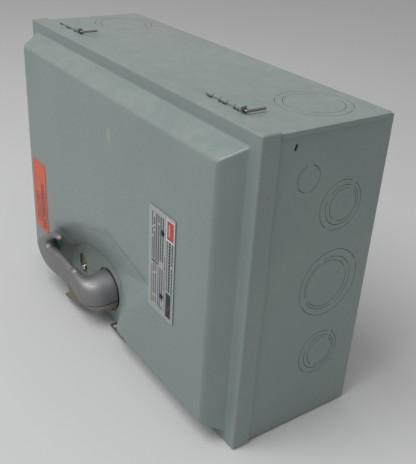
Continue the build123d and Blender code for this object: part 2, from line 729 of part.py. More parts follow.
def fuse_clips(x, bus_low, bus_high):
    """Build three spring clips at the given X, each on a bus strip between the two X ends."""
    inner = FUSE_R + 0.1
    with BuildPart() as clips:
        for z in POLES_Z:
            with BuildSketch(front(BASE_FRONT)):
                with Locations(((bus_low + bus_high) / 2, z)):
                    Rectangle(bus_high - bus_low, 14)
            extrude(amount=BUS_T)
            with BuildSketch(facing_x(x - CLIP_WIDTH / 2)):
                with Locations((FUSE_Y, z)):
                    Circle(inner + CLIP_T)
                with Locations(((FUSE_Y + BASE_FRONT - BUS_T) / 2, z)):
                    Rectangle(BASE_FRONT - BUS_T - FUSE_Y, 12)
                with Locations((FUSE_Y, z)):
                    Circle(inner, mode=Mode.SUBTRACT)
                with Locations((FUSE_Y - inner, z)):
                    Rectangle(inner, 13, mode=Mode.SUBTRACT)
            extrude(amount=CLIP_WIDTH)
    return clips


line_fuse_clips = fuse_clips(CLIP_X["line"], CLIP_X["line"] - 7, PIVOT_X - 38)
save(line_fuse_clips, "line_fuse_clips")
load_fuse_clips = fuse_clips(CLIP_X["load"], LUG_X["load"] - LUG[0] / 2, CLIP_X["load"] + 7)
save(load_fuse_clips, "load_fuse_clips")

with BuildPart() as fuse_tubes:
    with Locations(*[Location((FUSE_MID_X, FUSE_Y, z), (0, 90, 0)) for z in POLES_Z]):
        Cylinder(FUSE_R - 0.8, FUSE_LENGTH - 2)
save(fuse_tubes, "fuse_tubes")

with BuildPart() as fuse_caps:
    for z in POLES_Z:
        for s in (1, -1):
            with BuildSketch(facing_x(FUSE_MID_X + s * FUSE_LENGTH / 2)):
                with Locations((FUSE_Y, z)):
                    Circle(FUSE_R)
            extrude(amount=-s * 16)
            with BuildSketch(facing_x(FUSE_MID_X + s * (FUSE_LENGTH / 2 - 1))):
                with Locations((FUSE_Y, z)):
                    Circle(FUSE_R - 0.8)
            extrude(amount=-s * 15, mode=Mode.SUBTRACT)
save(fuse_caps, "fuse_caps")

with BuildPart() as arc_chutes:
    for z in POLES_Z:
        for s in (1, -1):
            with BuildSketch(front(BASE_FRONT)):
                with Locations((JAW_X - 2, z + s * 14)):
                    Rectangle(36, 2.5)
            extrude(amount=46)
        with BuildSketch(front(BASE_FRONT - 34)):
            with Locations((JAW_X + 14.5, z)):
                Rectangle(3, 25.5)
        extrude(amount=12)
save(arc_chutes, "arc_chutes")

with BuildPart() as phase_barriers:
    for z in [POLES_Z[0] + POLE_PITCH * (k - 0.5) for k in (1, 2)]:
        with BuildSketch(Plane.XY.offset(z - 0.8)):
            with Locations((FUSE_MID_X - 20, BASE_FRONT - RIB - 15)):
                Rectangle(98, 30)
        extrude(amount=1.6)
save(phase_barriers, "phase_barriers")

# --- grounding bar ------------------------------------------------------------------------------
GROUND_X, GROUND_Z = -140.0, 40.0
GROUND_STEP = 14.0
GROUND_HOLES = (-1.5, -0.5, 0.5, 1.5)
with BuildPart() as ground_bar:
    with Locations((GROUND_X, BASE_BACK - 6, GROUND_Z)):
        Box(60, 12, 12)
    with Locations(*[(GROUND_X + k * GROUND_STEP, BASE_BACK - 6, GROUND_Z) for k in GROUND_HOLES]):
        Cylinder(2.5, 12, mode=Mode.SUBTRACT)
save(ground_bar, "ground_bar")

with BuildPart() as ground_screws:
    for k in GROUND_HOLES:
        with BuildSketch(front(BASE_BACK - 12)):
            with Locations((GROUND_X + k * GROUND_STEP, GROUND_Z)):
                Circle(4)
        extrude(amount=3)
        with BuildSketch(front(BASE_BACK - 15)):
            with Locations((GROUND_X + k * GROUND_STEP, GROUND_Z)):
                Rectangle(9, 1)
        extrude(amount=-1.4, mode=Mode.SUBTRACT)
save(ground_screws, "ground_screws")
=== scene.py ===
"""Looks of a fusible three-pole AC disconnect box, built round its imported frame.

Metres. +Z is up (hinge side), the cover faces -Y, and +X is the line end.
"""

import logging
import math
from dataclasses import dataclass
from enum import Enum

import bmesh
import bpy
import numpy as np
from mathutils import Euler, Matrix, Vector
from mathutils.geometry import delaunay_2d_cdt


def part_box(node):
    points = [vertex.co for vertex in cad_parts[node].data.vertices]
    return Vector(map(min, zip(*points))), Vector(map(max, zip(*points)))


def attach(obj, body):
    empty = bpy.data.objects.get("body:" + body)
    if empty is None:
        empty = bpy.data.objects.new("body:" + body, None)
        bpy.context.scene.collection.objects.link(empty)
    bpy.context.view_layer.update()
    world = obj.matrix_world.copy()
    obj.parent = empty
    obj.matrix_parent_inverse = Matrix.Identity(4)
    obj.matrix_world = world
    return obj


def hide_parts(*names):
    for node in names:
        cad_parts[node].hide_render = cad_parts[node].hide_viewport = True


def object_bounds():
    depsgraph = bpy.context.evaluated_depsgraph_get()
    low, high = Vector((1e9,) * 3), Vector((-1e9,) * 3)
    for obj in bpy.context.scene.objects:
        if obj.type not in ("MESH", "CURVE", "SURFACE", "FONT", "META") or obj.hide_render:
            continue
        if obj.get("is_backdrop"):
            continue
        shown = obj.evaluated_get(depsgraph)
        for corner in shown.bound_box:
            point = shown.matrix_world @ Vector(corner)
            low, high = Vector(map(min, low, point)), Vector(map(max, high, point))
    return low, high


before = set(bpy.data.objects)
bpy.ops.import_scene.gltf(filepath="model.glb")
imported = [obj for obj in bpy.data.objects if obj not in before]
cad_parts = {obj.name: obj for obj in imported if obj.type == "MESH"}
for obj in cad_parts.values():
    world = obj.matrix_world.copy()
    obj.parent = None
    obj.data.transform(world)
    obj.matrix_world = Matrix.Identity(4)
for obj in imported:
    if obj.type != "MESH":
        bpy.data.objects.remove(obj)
log = logging.getLogger("disconnect_box")

MM = 0.001

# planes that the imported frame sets
FLANGE_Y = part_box("cover")[1].y - 17 * MM  # front plane of the cover's flange
FACE_Y = FLANGE_Y - 20.5 * MM
BACK_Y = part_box("enclosure_shell")[1].y
LENGTH = 407 * MM
HEIGHT = 288 * MM
HUB_X, HUB_Z = -28 * MM, 37 * MM

Point = tuple[float, float]
Colour = tuple[float, float, float]

DUST: Colour = (0.42, 0.41, 0.38)
COAT_ROUGHNESS = 0.25
BUMP_DEPTH = 0.0003
WAVE_HEIGHT = 0.16 * MM  # how far the cover's sheet waves


# --- node trees -----------------------------------------------------------------------------------
class Graph:
    """Short calls that add nodes and links to one node tree."""

    def __init__(self, tree: bpy.types.NodeTree) -> None:
        """Keep the tree that later calls write to."""
        self.tree = tree

    def add(self, kind: str, **settings) -> bpy.types.Node:
        """Add a node and set its properties.

        Args:
            kind: Blender's node type name.
            **settings: properties of the node, by name.

        Returns:
            The new node.
        """
        node = self.tree.nodes.new(kind)
        for name, value in settings.items():
            setattr(node, name, value)
        return node

    def put(self, socket: bpy.types.NodeSocket, value) -> None:
        """Link a socket to an input, or set the input's own value."""
        if isinstance(value, bpy.types.NodeSocket):
            self.tree.links.new(value, socket)
        elif isinstance(value, (tuple, list)) and len(value) == 3 and socket.type == "RGBA":
            socket.default_value = (*value, 1.0)
        elif value is not None:
            socket.default_value = value

    def math(self, operation: str, a, b=None, c=None) -> bpy.types.NodeSocket:
        """Add a Math node and return its output."""
        node = self.add("ShaderNodeMath", operation=operation)
        for socket, value in zip(node.inputs, (a, b, c)):
            self.put(socket, value)
        return node.outputs[0]

    def ramp(self, value, low: float, high: float, start: float = 0.0, end: float = 1.0):
        """Map a value smoothly from low..high to start..end and return the output."""
        node = self.add("ShaderNodeMapRange", interpolation_type="SMOOTHSTEP")
        for name, item in (("Value", value), ("From Min", low), ("From Max", high),
                           ("To Min", start), ("To Max", end)):
            self.put(node.inputs[name], item)
        return node.outputs["Result"]

    def noise(self, vector, scale: float, detail: float = 4.0, roughness: float = 0.55):
        """Add a noise texture and return its value output."""
        node = self.add("ShaderNodeTexNoise")
        self.put(node.inputs["Vector"], vector)
        self.put(node.inputs["Scale"], scale)
        self.put(node.inputs["Detail"], detail)
        self.put(node.inputs["Roughness"], roughness)
        return node.outputs["Fac"]

    def mix(self, factor, first, second) -> bpy.types.NodeSocket:
        """Mix two colours and return the result."""
        node = self.add("ShaderNodeMix", data_type="RGBA")
        self.put(node.inputs[0], factor)
        self.put(node.inputs[6], first)
        self.put(node.inputs[7], second)
        return node.outputs[2]

    def coordinates(self) -> bpy.types.NodeSocket:
        """Return the object coordinates."""
        return self.add("ShaderNodeTexCoord").outputs["Object"]

    def split(self, vector) -> tuple:
        """Return the three parts of a vector."""
        node = self.add("ShaderNodeSeparateXYZ")
        self.put(node.inputs[0], vector)
        return tuple(node.outputs)

    def join(self, x, y, z) -> bpy.types.NodeSocket:
        """Return a vector made of three values."""
        node = self.add("ShaderNodeCombineXYZ")
        for socket, value in zip(node.inputs, (x, y, z)):
            self.put(socket, value)
        return node.outputs[0]

    def group(self, tree: bpy.types.NodeTree, **values) -> bpy.types.Node:
        """Place a node group and set its inputs by name, with _ for a space."""
        node = self.add("ShaderNodeGroup", node_tree=tree)
        for name, value in values.items():
            self.put(node.inputs[name.replace("_", " ")], value)
        return node


class ShaderKit:
    """The node groups that several finishes share, each built once."""

    def __init__(self) -> None:
        """Build every shared group."""
        self.patina = self._patina()
        self.scuffs = self._scuffs()
        self.dust = self._dust()
        self.wear_and_crease_shade = self._wear_and_crease_shade_group()

    @staticmethod
    def _new(name: str, inputs: dict[str, float], outputs: tuple[str, ...]) -> tuple:
        """Make an empty group with float sockets.

        Args:
            name: the group's name.
            inputs: socket names and their defaults.
            outputs: names of the float outputs.

        Returns:
            The tree, its graph, its input node and its output node.
        """
        tree = bpy.data.node_groups.new(name, "ShaderNodeTree")
        for label, value in inputs.items():
            socket = tree.interface.new_socket(label, in_out="INPUT", socket_type="NodeSocketFloat")
            socket.default_value = value
        for label in outputs:
            tree.interface.new_socket(label, in_out="OUTPUT", socket_type="NodeSocketFloat")
        graph = Graph(tree)
        return tree, graph, graph.add("NodeGroupInput"), graph.add("NodeGroupOutput")

    def _patina(self) -> bpy.types.NodeTree:
        """Build slow colour drift, fine mottling and a height for bump."""
        tree, g, ins, outs = self._new(
            "patina", {"Broad": 9.0, "Fine": 260.0, "Grain": 1500.0}, ("Drift", "Mottle", "Height"))
        place = g.coordinates()
        drift = g.noise(place, ins.outputs["Broad"], 3.0)
        mottle = g.noise(place, ins.outputs["Fine"], 5.0, 0.6)
        grain = g.noise(place, ins.outputs["Grain"], 2.0)
        g.put(outs.inputs["Drift"], g.ramp(drift, 0.3, 0.7))
        g.put(outs.inputs["Mottle"], g.ramp(mottle, 0.3, 0.7))
        g.put(outs.inputs["Height"], g.math("MULTIPLY_ADD", grain, 0.6, g.math("MULTIPLY", mottle, 0.4)))
        return tree

    def _scuffs(self) -> bpy.types.NodeTree:
        """Build a mask of thin scratches that run two ways."""
        tree, g, ins, outs = self._new("scuffs", {"Length": 22.0, "Width": 900.0, "Amount": 0.5}, ("Mask",))
        place = g.coordinates()
        masks = []
        for turn in (0.35, -0.9):
            node = g.add("ShaderNodeMapping")
            g.put(node.inputs["Vector"], place)
            g.put(node.inputs["Rotation"], (turn, turn, 0.4))
            g.put(node.inputs["Scale"], g.join(ins.outputs["Length"], ins.outputs["Width"],
                                               ins.outputs["Width"]))
            thin = g.ramp(g.noise(node.outputs[0], 1.0, 1.0), 0.66, 0.72)
            masks.append(g.math("MULTIPLY", thin, g.ramp(g.noise(place, 35.0 + 20 * turn, 2.0), 0.52,
                                                         0.66)))
        g.put(outs.inputs["Mask"], g.math("MULTIPLY", g.math("MAXIMUM", *masks), ins.outputs["Amount"]))
        return tree

    def _dust(self) -> bpy.types.NodeTree:
        """Build a mask of dust that lies on faces looking up."""
        tree, g, ins, outs = self._new("dust", {"Amount": 0.5, "Clumps": 60.0}, ("Mask",))
        up = g.split(g.add("ShaderNodeNewGeometry").outputs["Normal"])[2]
        cloud = g.ramp(g.noise(g.coordinates(), ins.outputs["Clumps"], 6.0, 0.65), 0.35, 0.75)
        settled = g.math("MULTIPLY", g.ramp(up, 0.3, 1.0), cloud)
        g.put(outs.inputs["Mask"], g.math("MULTIPLY", settled, ins.outputs["Amount"]))
        return tree

    def _wear_and_crease_shade_group(self) -> bpy.types.NodeTree:
        """Build a mask of rubbed edges and one of painted shade in creases and hollow corners."""
        tree, g, ins, outs = self._new("worn rim", {"Reach": 0.04, "Breakup": 180.0}, ("Rubbed", "Grime"))
        bend = g.add("ShaderNodeNewGeometry").outputs["Pointiness"]
        broken = g.noise(g.coordinates(), ins.outputs["Breakup"], 5.0, 0.7)
        swing = g.math("MULTIPLY_ADD", g.math("SUBTRACT", broken, 0.5), ins.outputs["Reach"], bend)
        g.put(outs.inputs["Rubbed"], g.ramp(swing, 0.52, 0.56))
        # painted shade: concave creases get a mask that darkens them as if in shadow
        g.put(outs.inputs["Grime"], g.ramp(swing, 0.485, 0.455))
        return tree


# --- finishes ---------------------------------------------------------------------------------------
@dataclass(frozen=True)
class Smudge:
    """A soft rubbed spot on the cover's face."""

    at: Point
    size: Point
    colour: Colour
    strength: float
    breakup: float = 420.0


@dataclass(frozen=True)
class Finish:
    """A surface finish with drift, mottling, grain, scuffs and dust."""

    name: str
    slot: str
    colour: Colour
    drift: Colour
    rough: float
    metallic: float = 0.0
    rough_swing: float = 0.1
    grain: float = 1500.0
    fine: float = 260.0
    bump: float = 0.12
    scuffs: float = 0.3
    scuff_colour: Colour = (0.5, 0.5, 0.5)
    dust: float = 0.2
    coat: float = 0.0
    # turns on rubbed edges and painted shade in creases
    wear_and_shade: bool = False
    worn_colour: Colour = (0.6, 0.6, 0.6)
    smudges: tuple[Smudge, ...] = ()

    def colours(self, g: Graph, kit: ShaderKit, drift, mottle, place) -> bpy.types.NodeSocket:
        """Return the base colour before scuffs and dust.

        Args:
            g: the material's graph.
            kit: the shared groups, not used.
            drift: slow noise.
            mottle: fine noise.
            place: object coordinates.

        Returns:
            A colour output.
        """
        base = g.mix(drift, self.colour, self.drift)
        darker = tuple(c * 0.9 for c in self.colour)
        base = g.mix(g.ramp(mottle, 0.55, 1.0, 0.0, 0.35), base, darker)
        if not self.smudges:
            return base
        x, y, z = g.split(place)
        front = g.math("LESS_THAN", y, FLANGE_Y)
        for spot in self.smudges:
            across = g.math("DIVIDE", g.math("SUBTRACT", x, spot.at[0]), spot.size[0])
            along = g.math("DIVIDE", g.math("SUBTRACT", z, spot.at[1]), spot.size[1])
            away = g.math("SQRT", g.math("ADD", g.math("POWER", across, 2.0), g.math("POWER", along, 2.0)))
            rag = g.noise(place, spot.breakup, 5.0, 0.7)
            mask = g.ramp(g.math("MULTIPLY_ADD", rag, -1.1, away), 0.42, -0.05, 0.0, spot.strength)
            base = g.mix(g.math("MULTIPLY", mask, front), base, spot.colour)
        return base

    def build(self, kit: ShaderKit) -> bpy.types.Material:
        """Make the material.

        Args:
            kit: the shared groups.

        Returns:
            The finished material.
        """
        material = bpy.data.materials.new(self.name)
        material.use_nodes = True
        material.node_tree.nodes.clear()
        g = Graph(material.node_tree)
        shader = g.add("ShaderNodeBsdfPrincipled")
        out = g.add("ShaderNodeOutputMaterial")
        g.put(out.inputs["Surface"], shader.outputs[0])
        place = g.coordinates()
        patina = g.group(kit.patina, Fine=self.fine, Grain=self.grain)
        base = self.colours(g, kit, patina.outputs["Drift"], patina.outputs["Mottle"], place)
        rough = g.ramp(patina.outputs["Mottle"], 0.0, 1.0, self.rough - self.rough_swing / 2,
                       self.rough + self.rough_swing / 2)
        if self.wear_and_shade:
            rim = g.group(kit.wear_and_crease_shade)
            base = g.mix(g.math("MULTIPLY", rim.outputs["Rubbed"], 0.6), base, self.worn_colour)
            # painted shade: the casting's creases are darkened towards 0.3 of its colour
            base = g.mix(g.math("MULTIPLY", rim.outputs["Grime"], 0.7), base,
                         tuple(c * 0.3 for c in self.colour))
        scuffs = g.group(kit.scuffs, Amount=self.scuffs).outputs["Mask"]
        base = g.mix(scuffs, base, self.scuff_colour)
        dust = g.group(kit.dust, Amount=self.dust).outputs["Mask"]
        base = g.mix(dust, base, DUST)
        rough = g.math("MULTIPLY_ADD", dust, 0.25, rough)
        g.put(shader.inputs["Base Color"], base)
        g.put(shader.inputs["Roughness"], rough)
        g.put(shader.inputs["Metallic"], self.metallic)
        g.put(shader.inputs["Coat Weight"], self.coat)
        g.put(shader.inputs["Coat Roughness"], COAT_ROUGHNESS)
        bump = g.add("ShaderNodeBump")
        g.put(bump.inputs["Strength"], self.bump)
        g.put(bump.inputs["Distance"], BUMP_DEPTH)
        g.put(bump.inputs["Height"], g.math("SUBTRACT", patina.outputs["Height"],
                                            g.math("MULTIPLY", scuffs, 0.4)))
        g.put(shader.inputs["Normal"], bump.outputs["Normal"])
        return material


@dataclass(frozen=True)
class CastFinish(Finish):
    """A cast finish with a parting line along the barrel's underside."""

    seam_z: float = 34.0 * MM
    seam_slope: float = 0.15
    seam_x: float = -44 * MM
    under_colour: Colour = (0.36, 0.31, 0.24)
    under_strength: float = 0.75
    line_colour: Colour = (0.02, 0.02, 0.018)

    def colours(self, g: Graph, kit: ShaderKit, drift, mottle, place) -> bpy.types.NodeSocket:
        """Darken the parting line and warm the casting below it."""
        base = super().colours(g, kit, drift, mottle, place)
        x, y, z = g.split(place)
        root = g.ramp(x, self.seam_x - 6 * MM, self.seam_x)
        line_z = g.math("MULTIPLY_ADD", g.math("SUBTRACT", y, FLANGE_Y), self.seam_slope, self.seam_z)
        off = g.math("ABSOLUTE", g.math("SUBTRACT", z, line_z))
        line = g.math("MULTIPLY", g.ramp(off, 0.75 * MM, 0.3 * MM), root)
        under = g.math("MULTIPLY", g.ramp(g.math("SUBTRACT", z, line_z), 0.2 * MM, -0.5 * MM), root)
        base = g.mix(g.math("MULTIPLY", under, self.under_strength), base, self.under_colour)
        return g.mix(line, base, self.line_colour)


@dataclass(frozen=True)
class PrintedFinish(Finish):
    """A printed sheet: plain blocks, and rows of short dashes in place of words."""

    centre: Point = (0.0, 0.0)
    extent: Point = (1.0, 1.0)
    blocks: tuple = ()
    rows: tuple = ()

    def _inside(self, g: Graph, u, v, area: tuple[float, float, float, float]):
        """Return 1 inside an area given as u0, u1, v0, v1."""
        u0, u1, v0, v1 = area
        parts = [g.math("GREATER_THAN", u, u0), g.math("LESS_THAN", u, u1),
                 g.math("GREATER_THAN", v, v0), g.math("LESS_THAN", v, v1)]
        value = parts[0]
        for part in parts[1:]:
            value = g.math("MULTIPLY", value, part)
        return value

    def _dashes(self, g: Graph, u, v, pitch_u: float, pitch_v: float, fill: float):
        """Return rows of random short dashes that run along v."""
        row = g.math("MULTIPLY", u, 1 / pitch_u)
        cell = g.math("MULTIPLY", v, 1 / pitch_v)
        noise = g.add("ShaderNodeTexWhiteNoise", noise_dimensions="2D")
        g.put(noise.inputs["Vector"], g.join(g.math("FLOOR", row), g.math("FLOOR", cell), 0.0))
        ink = g.math("LESS_THAN", noise.outputs["Value"], fill)
        body = g.math("LESS_THAN", g.math("FRACT", row), 0.64)
        gap = g.math("LESS_THAN", g.math("FRACT", cell), 0.85)
        return g.math("MULTIPLY", g.math("MULTIPLY", ink, body), gap)

    def colours(self, g: Graph, kit: ShaderKit, drift, mottle, place) -> bpy.types.NodeSocket:
        """Lay the blocks and rows over the sheet's own colour."""
        base = super().colours(g, kit, drift, mottle, place)
        x, _, z = g.split(place)
        u = g.math("MULTIPLY_ADD", g.math("SUBTRACT", x, self.centre[0]), 1 / self.extent[0], 0.5)
        v = g.math("MULTIPLY_ADD", g.math("SUBTRACT", z, self.centre[1]), 1 / self.extent[1], 0.5)
        for area, colour in self.blocks:
            base = g.mix(self._inside(g, u, v, area), base, colour)
        for area, pitch_u, pitch_v, fill, colour, strength in self.rows:
            ink = g.math("MULTIPLY", self._inside(g, u, v, area),
                         self._dashes(g, u, v, pitch_u, pitch_v, fill))
            base = g.mix(g.math("MULTIPLY", ink, strength), base, colour)
        return base


class Slot(Enum):
    """The record's material slots."""

    PAINT = "painted_steel"
    STEEL = "plain_steel"
    CAST = "cast_handle"
    YELLOW = "zinc_yellow"
    BRIGHT = "bright_steel"
    COPPER = "copper"
    TIN = "tinned"
    LUG = "lug_alloy"
    PHENOLIC = "phenolic"
    FIBRE = "fibre"
    TUBE = "fuse_paper"
    PLATE = "plate_print"
    STICKER = "sticker_orange"
    BLACK = "rivet_black"


PLATE_CENTRE, PLATE_SIZE = (112.3 * MM, 146 * MM), (41 * MM, 100 * MM)
STICKER_CENTRE, STICKER_SIZE = (-157 * MM, 97.5 * MM), (36 * MM, 87 * MM)
PRINT_DARK = (0.016, 0.018, 0.018)
PRINT_RED = (0.44, 0.055, 0.062)
PAINT = (0.216, 0.264, 0.258)
PAINT_DRIFT = (0.194, 0.248, 0.244)

FINISHES: dict[Slot, Finish] = {
    Slot.PAINT: Finish(
        "grey_green_enamel", "painted_steel", PAINT, PAINT_DRIFT, 0.42, grain=900.0, bump=0.10, scuffs=0.10,
        scuff_colour=(0.34, 0.38, 0.37), dust=0.22, coat=0.25,
        smudges=(Smudge((17 * MM, 230 * MM), (5 * MM, 10 * MM), (0.36, 0.37, 0.22), 0.45),)),
    Slot.STEEL: Finish(
        "mill_steel", "plain_steel", (0.34, 0.33, 0.31), (0.24, 0.23, 0.21), 0.4, metallic=0.9, scuffs=0.3,
        fine=500.0),
    Slot.CAST: CastFinish(
        "cast_grip", "cast_handle", (0.30, 0.30, 0.312), (0.22, 0.22, 0.228), 0.55, metallic=0.8,
        grain=1100.0,
        bump=0.2, scuffs=0.35, scuff_colour=(0.5, 0.5, 0.5), dust=0.05, wear_and_shade=True,
        worn_colour=(0.42, 0.42, 0.42)),
    Slot.YELLOW: Finish(
        "yellow_zinc", "zinc_yellow", (0.25, 0.21, 0.13), (0.17, 0.145, 0.09), 0.42, metallic=0.85,
        scuffs=0.25,
        scuff_colour=(0.5, 0.45, 0.3)),
    Slot.BRIGHT: Finish(
        "bright_plate", "bright_steel", (0.75, 0.74, 0.70), (0.66, 0.65, 0.62), 0.16, metallic=1.0,
        scuffs=0.15),
    Slot.COPPER: Finish(
        "dulled_copper", "copper", (0.52, 0.26, 0.15), (0.36, 0.19, 0.12), 0.32, metallic=1.0, scuffs=0.4,
        scuff_colour=(0.7, 0.42, 0.3)),
    Slot.TIN: Finish(
        "tin_plate", "tinned", (0.52, 0.52, 0.50), (0.42, 0.42, 0.40), 0.36, metallic=0.95, scuffs=0.3),
    Slot.LUG: Finish(
        "lug_alloy", "lug_alloy", (0.55, 0.56, 0.57), (0.46, 0.47, 0.48), 0.34, metallic=0.95, grain=2200.0,
        bump=0.2, scuffs=0.4),
    Slot.PHENOLIC: Finish(
        "moulded_phenolic", "phenolic", (0.022, 0.020, 0.020), (0.032, 0.028, 0.026), 0.36, scuffs=0.3,
        scuff_colour=(0.09, 0.085, 0.08), dust=0.12),
    Slot.FIBRE: Finish(
        "grey_fibre", "fibre", (0.20, 0.19, 0.17), (0.15, 0.14, 0.13), 0.72, fine=700.0, bump=0.35,
        scuffs=0.25,
        scuff_colour=(0.3, 0.29, 0.27), dust=0.15),
    Slot.TUBE: Finish(
        "wound_tube", "fuse_paper", (0.42, 0.38, 0.27), (0.34, 0.30, 0.21), 0.55, fine=900.0, bump=0.3,
        scuffs=0.3,
        scuff_colour=(0.5, 0.47, 0.36)),
    Slot.PLATE: PrintedFinish(
        "printed_foil", "plate_print", (0.36, 0.395, 0.405), (0.32, 0.355, 0.365), 0.5, metallic=0.1,
        scuffs=0.15,
        centre=PLATE_CENTRE, extent=PLATE_SIZE,
        blocks=(
            ((0.66, 0.965, 0.775, 0.975), (0.62, 0.63, 0.62)),
            ((0.69, 0.94, 0.79, 0.962), PRINT_RED),
            ((0.745, 0.80, 0.82, 0.93), (0.60, 0.30, 0.28)),
            ((0.70, 0.90, 0.03, 0.275), PRINT_DARK),
            ((0.925, 0.94, 0.03, 0.76), (0.16, 0.17, 0.17)),
            ((0.665, 0.68, 0.03, 0.76), (0.16, 0.17, 0.17)),
        ),
        rows=(
            ((0.70, 0.92, 0.29, 0.77), 0.11, 0.03, 0.97, PRINT_DARK, 1.0),
            ((0.10, 0.57, 0.50, 0.95), 0.085, 0.022, 0.92, (0.035, 0.04, 0.04), 0.95),
            ((0.10, 0.34, 0.05, 0.46), 0.085, 0.022, 0.88, (0.16, 0.04, 0.04), 0.85),
            ((0.36, 0.57, 0.05, 0.46), 0.085, 0.022, 0.9, (0.04, 0.045, 0.045), 0.9),
            ((0.58, 0.655, 0.06, 0.60), 0.06, 0.02, 0.85, (0.26, 0.04, 0.04), 0.85),
            ((0.10, 0.64, 0.47, 0.492), 0.6, 0.4, 1.1, (0.04, 0.045, 0.045), 0.9),
            ((0.72, 0.89, 0.04, 0.265), 0.075, 0.016, 0.2, (0.10, 0.11, 0.11), 0.8),
        )),
    Slot.STICKER: PrintedFinish(
        "orange_vinyl", "sticker_orange", (0.66, 0.105, 0.045), (0.60, 0.090, 0.040), 0.4, scuffs=0.2,
        scuff_colour=(0.75, 0.3, 0.2), centre=STICKER_CENTRE, extent=STICKER_SIZE,
        rows=(
            ((0.58, 0.80, 0.06, 0.72), 0.12, 0.042, 0.92, (0.03, 0.01, 0.01), 1.0),
            ((0.18, 0.56, 0.12, 0.55), 0.085, 0.018, 0.8, (0.16, 0.02, 0.015), 0.85),
            ((0.82, 0.93, 0.10, 0.62), 0.08, 0.018, 0.75, (0.14, 0.02, 0.015), 0.9),
        )),
    Slot.BLACK: Finish(
        "black_rivet", "rivet_black", (0.018, 0.020, 0.020), (0.03, 0.032, 0.032), 0.4, metallic=0.5,
        scuffs=0.2,
        scuff_colour=(0.12, 0.12, 0.12)),
}


class Palette:
    """Every finish's material, made once."""

    def __init__(self) -> None:
        """Build the shared groups and all materials."""
        kit = ShaderKit()
        self.materials = {slot: finish.build(kit) for slot, finish in FINISHES.items()}

    def dress(self, obj: bpy.types.Object, slot: Slot) -> bpy.types.Object:
        """Give an object one finish in all its material slots."""
        obj.data.materials.clear()
        obj.data.materials.append(self.materials[slot])
        return obj

    def finish_piece(self, obj: bpy.types.Object, slot: Slot, body: str, *nodes: str) -> bpy.types.Object:
        """Dress a new piece, make it ride on its body and stand for CAD nodes.

        Args:
            obj: the new piece.
            slot: its finish.
            body: the CAD body that it moves with.
            *nodes: CAD nodes that it replaces.

        Returns:
            The piece.
        """
        self.dress(obj, slot)
        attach(obj, body)
        if nodes:
            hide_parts(*nodes)
        log.info("%s: %d faces on %s", obj.name, len(obj.data.polygons), body)
        return obj


# --- mesh tools ---------------------------------------------------------------------------------
def linked(name: str, data: bpy.types.ID) -> bpy.types.Object:
    """Make an object from its data and link it to the scene."""
    obj = bpy.data.objects.new(name, data)
    bpy.context.scene.collection.objects.link(obj)
    return obj


def object_of(shape: bmesh.types.BMesh, name: str) -> bpy.types.Object:
    """Turn an edited shape into an object and free the shape."""
    mesh = bpy.data.meshes.new(name)
    shape.to_mesh(mesh)
    shape.free()
    return linked(name, mesh)


def cleaned(obj: bpy.types.Object, weld: float = 0.0, sliver: float = 0.0) -> bpy.types.Object:
    """Turn every face of an object outwards, after joining what lies too close.

    Args:
        obj: the object, changed in place.
        weld: vertices closer than this are joined, or 0 for none.
        sliver: edges shorter than this are dissolved, or 0 for none.

    Returns:
        The same object.
    """
    shape = bmesh.new()
    shape.from_mesh(obj.data)
    if weld:
        bmesh.ops.remove_doubles(shape, verts=shape.verts, dist=weld)
    if sliver:
        bmesh.ops.dissolve_degenerate(shape, edges=shape.edges, dist=sliver)
    bmesh.ops.recalc_face_normals(shape, faces=shape.faces)
    shape.to_mesh(obj.data)
    shape.free()
    return obj


def carved(obj: bpy.types.Object, cutter: bpy.types.Object, name: str) -> bpy.types.Object:
    """Cut one object out of another, remove the cutter and freeze the rest."""
    cut = obj.modifiers.new("slot", "BOOLEAN")
    cut.operation, cut.object, cut.solver = "DIFFERENCE", cutter, "EXACT"
    body = freeze(obj, name)
    bpy.data.objects.remove(cutter)
    return body


def cuboid(name: str, xs: Point, ys: Point, zs: Point) -> bpy.types.Object:
    """Make a flat-shaded box from its limits along each axis."""
    verts = [(x, y, z) for x in xs for y in ys for z in zs]
    faces = [(0, 1, 3, 2), (4, 6, 7, 5), (0, 4, 5, 1), (2, 3, 7, 6), (0, 2, 6, 4), (1, 5, 7, 3)]
    return object_from(name, verts, faces, False)


def in_metres(points) -> list[Point]:
    """Turn (x, z) points from millimetres into metres."""
    return [(x * MM, z * MM) for x, z in points]


def grid_of(xs: np.ndarray, zs: np.ndarray) -> np.ndarray:
    """Give every pair of an x and a z as a row."""
    return np.stack(np.meshgrid(xs, zs), -1).reshape(-1, 2)


def sheet_wave(points: np.ndarray) -> np.ndarray:
    """Give how far the cover's sheet waves at (x, z) points."""
    wave = np.sin(points[:, 0] * 19.0 + 0.7) * np.sin(points[:, 1] * 23.0 + 1.9)
    return WAVE_HEIGHT * wave


def object_from(name: str, verts, faces, smooth: bool = True) -> bpy.types.Object:
    """Make a mesh object from vertices and faces.

    Args:
        name: the object's name.
        verts: points in metres.
        faces: vertex indices of each face.
        smooth: whether faces are smooth shaded.

    Returns:
        The object, linked to the scene.
    """
    mesh = bpy.data.meshes.new(name)
    mesh.from_pydata([tuple(v) for v in verts], [], [tuple(f) for f in faces])
    mesh.polygons.foreach_set("use_smooth", [smooth] * len(mesh.polygons))
    mesh.update()
    return linked(name, mesh)


def freeze(obj: bpy.types.Object, name: str | None = None) -> bpy.types.Object:
    """Turn an object with modifiers into a plain mesh of its own.

    Args:
        obj: the object, which is removed.
        name: the new object's name, or None to keep the old one.

    Returns:
        The new object.
    """
    name = name or obj.name
    bpy.context.view_layer.update()
    graph = bpy.context.evaluated_depsgraph_get()
    mesh = bpy.data.meshes.new_from_object(obj.evaluated_get(graph), depsgraph=graph)
    old = obj.data
    bpy.data.objects.remove(obj)
    if isinstance(old, bpy.types.Mesh) and old.users == 0:
        bpy.data.meshes.remove(old)
    mesh.name = name
    return linked(name, mesh)


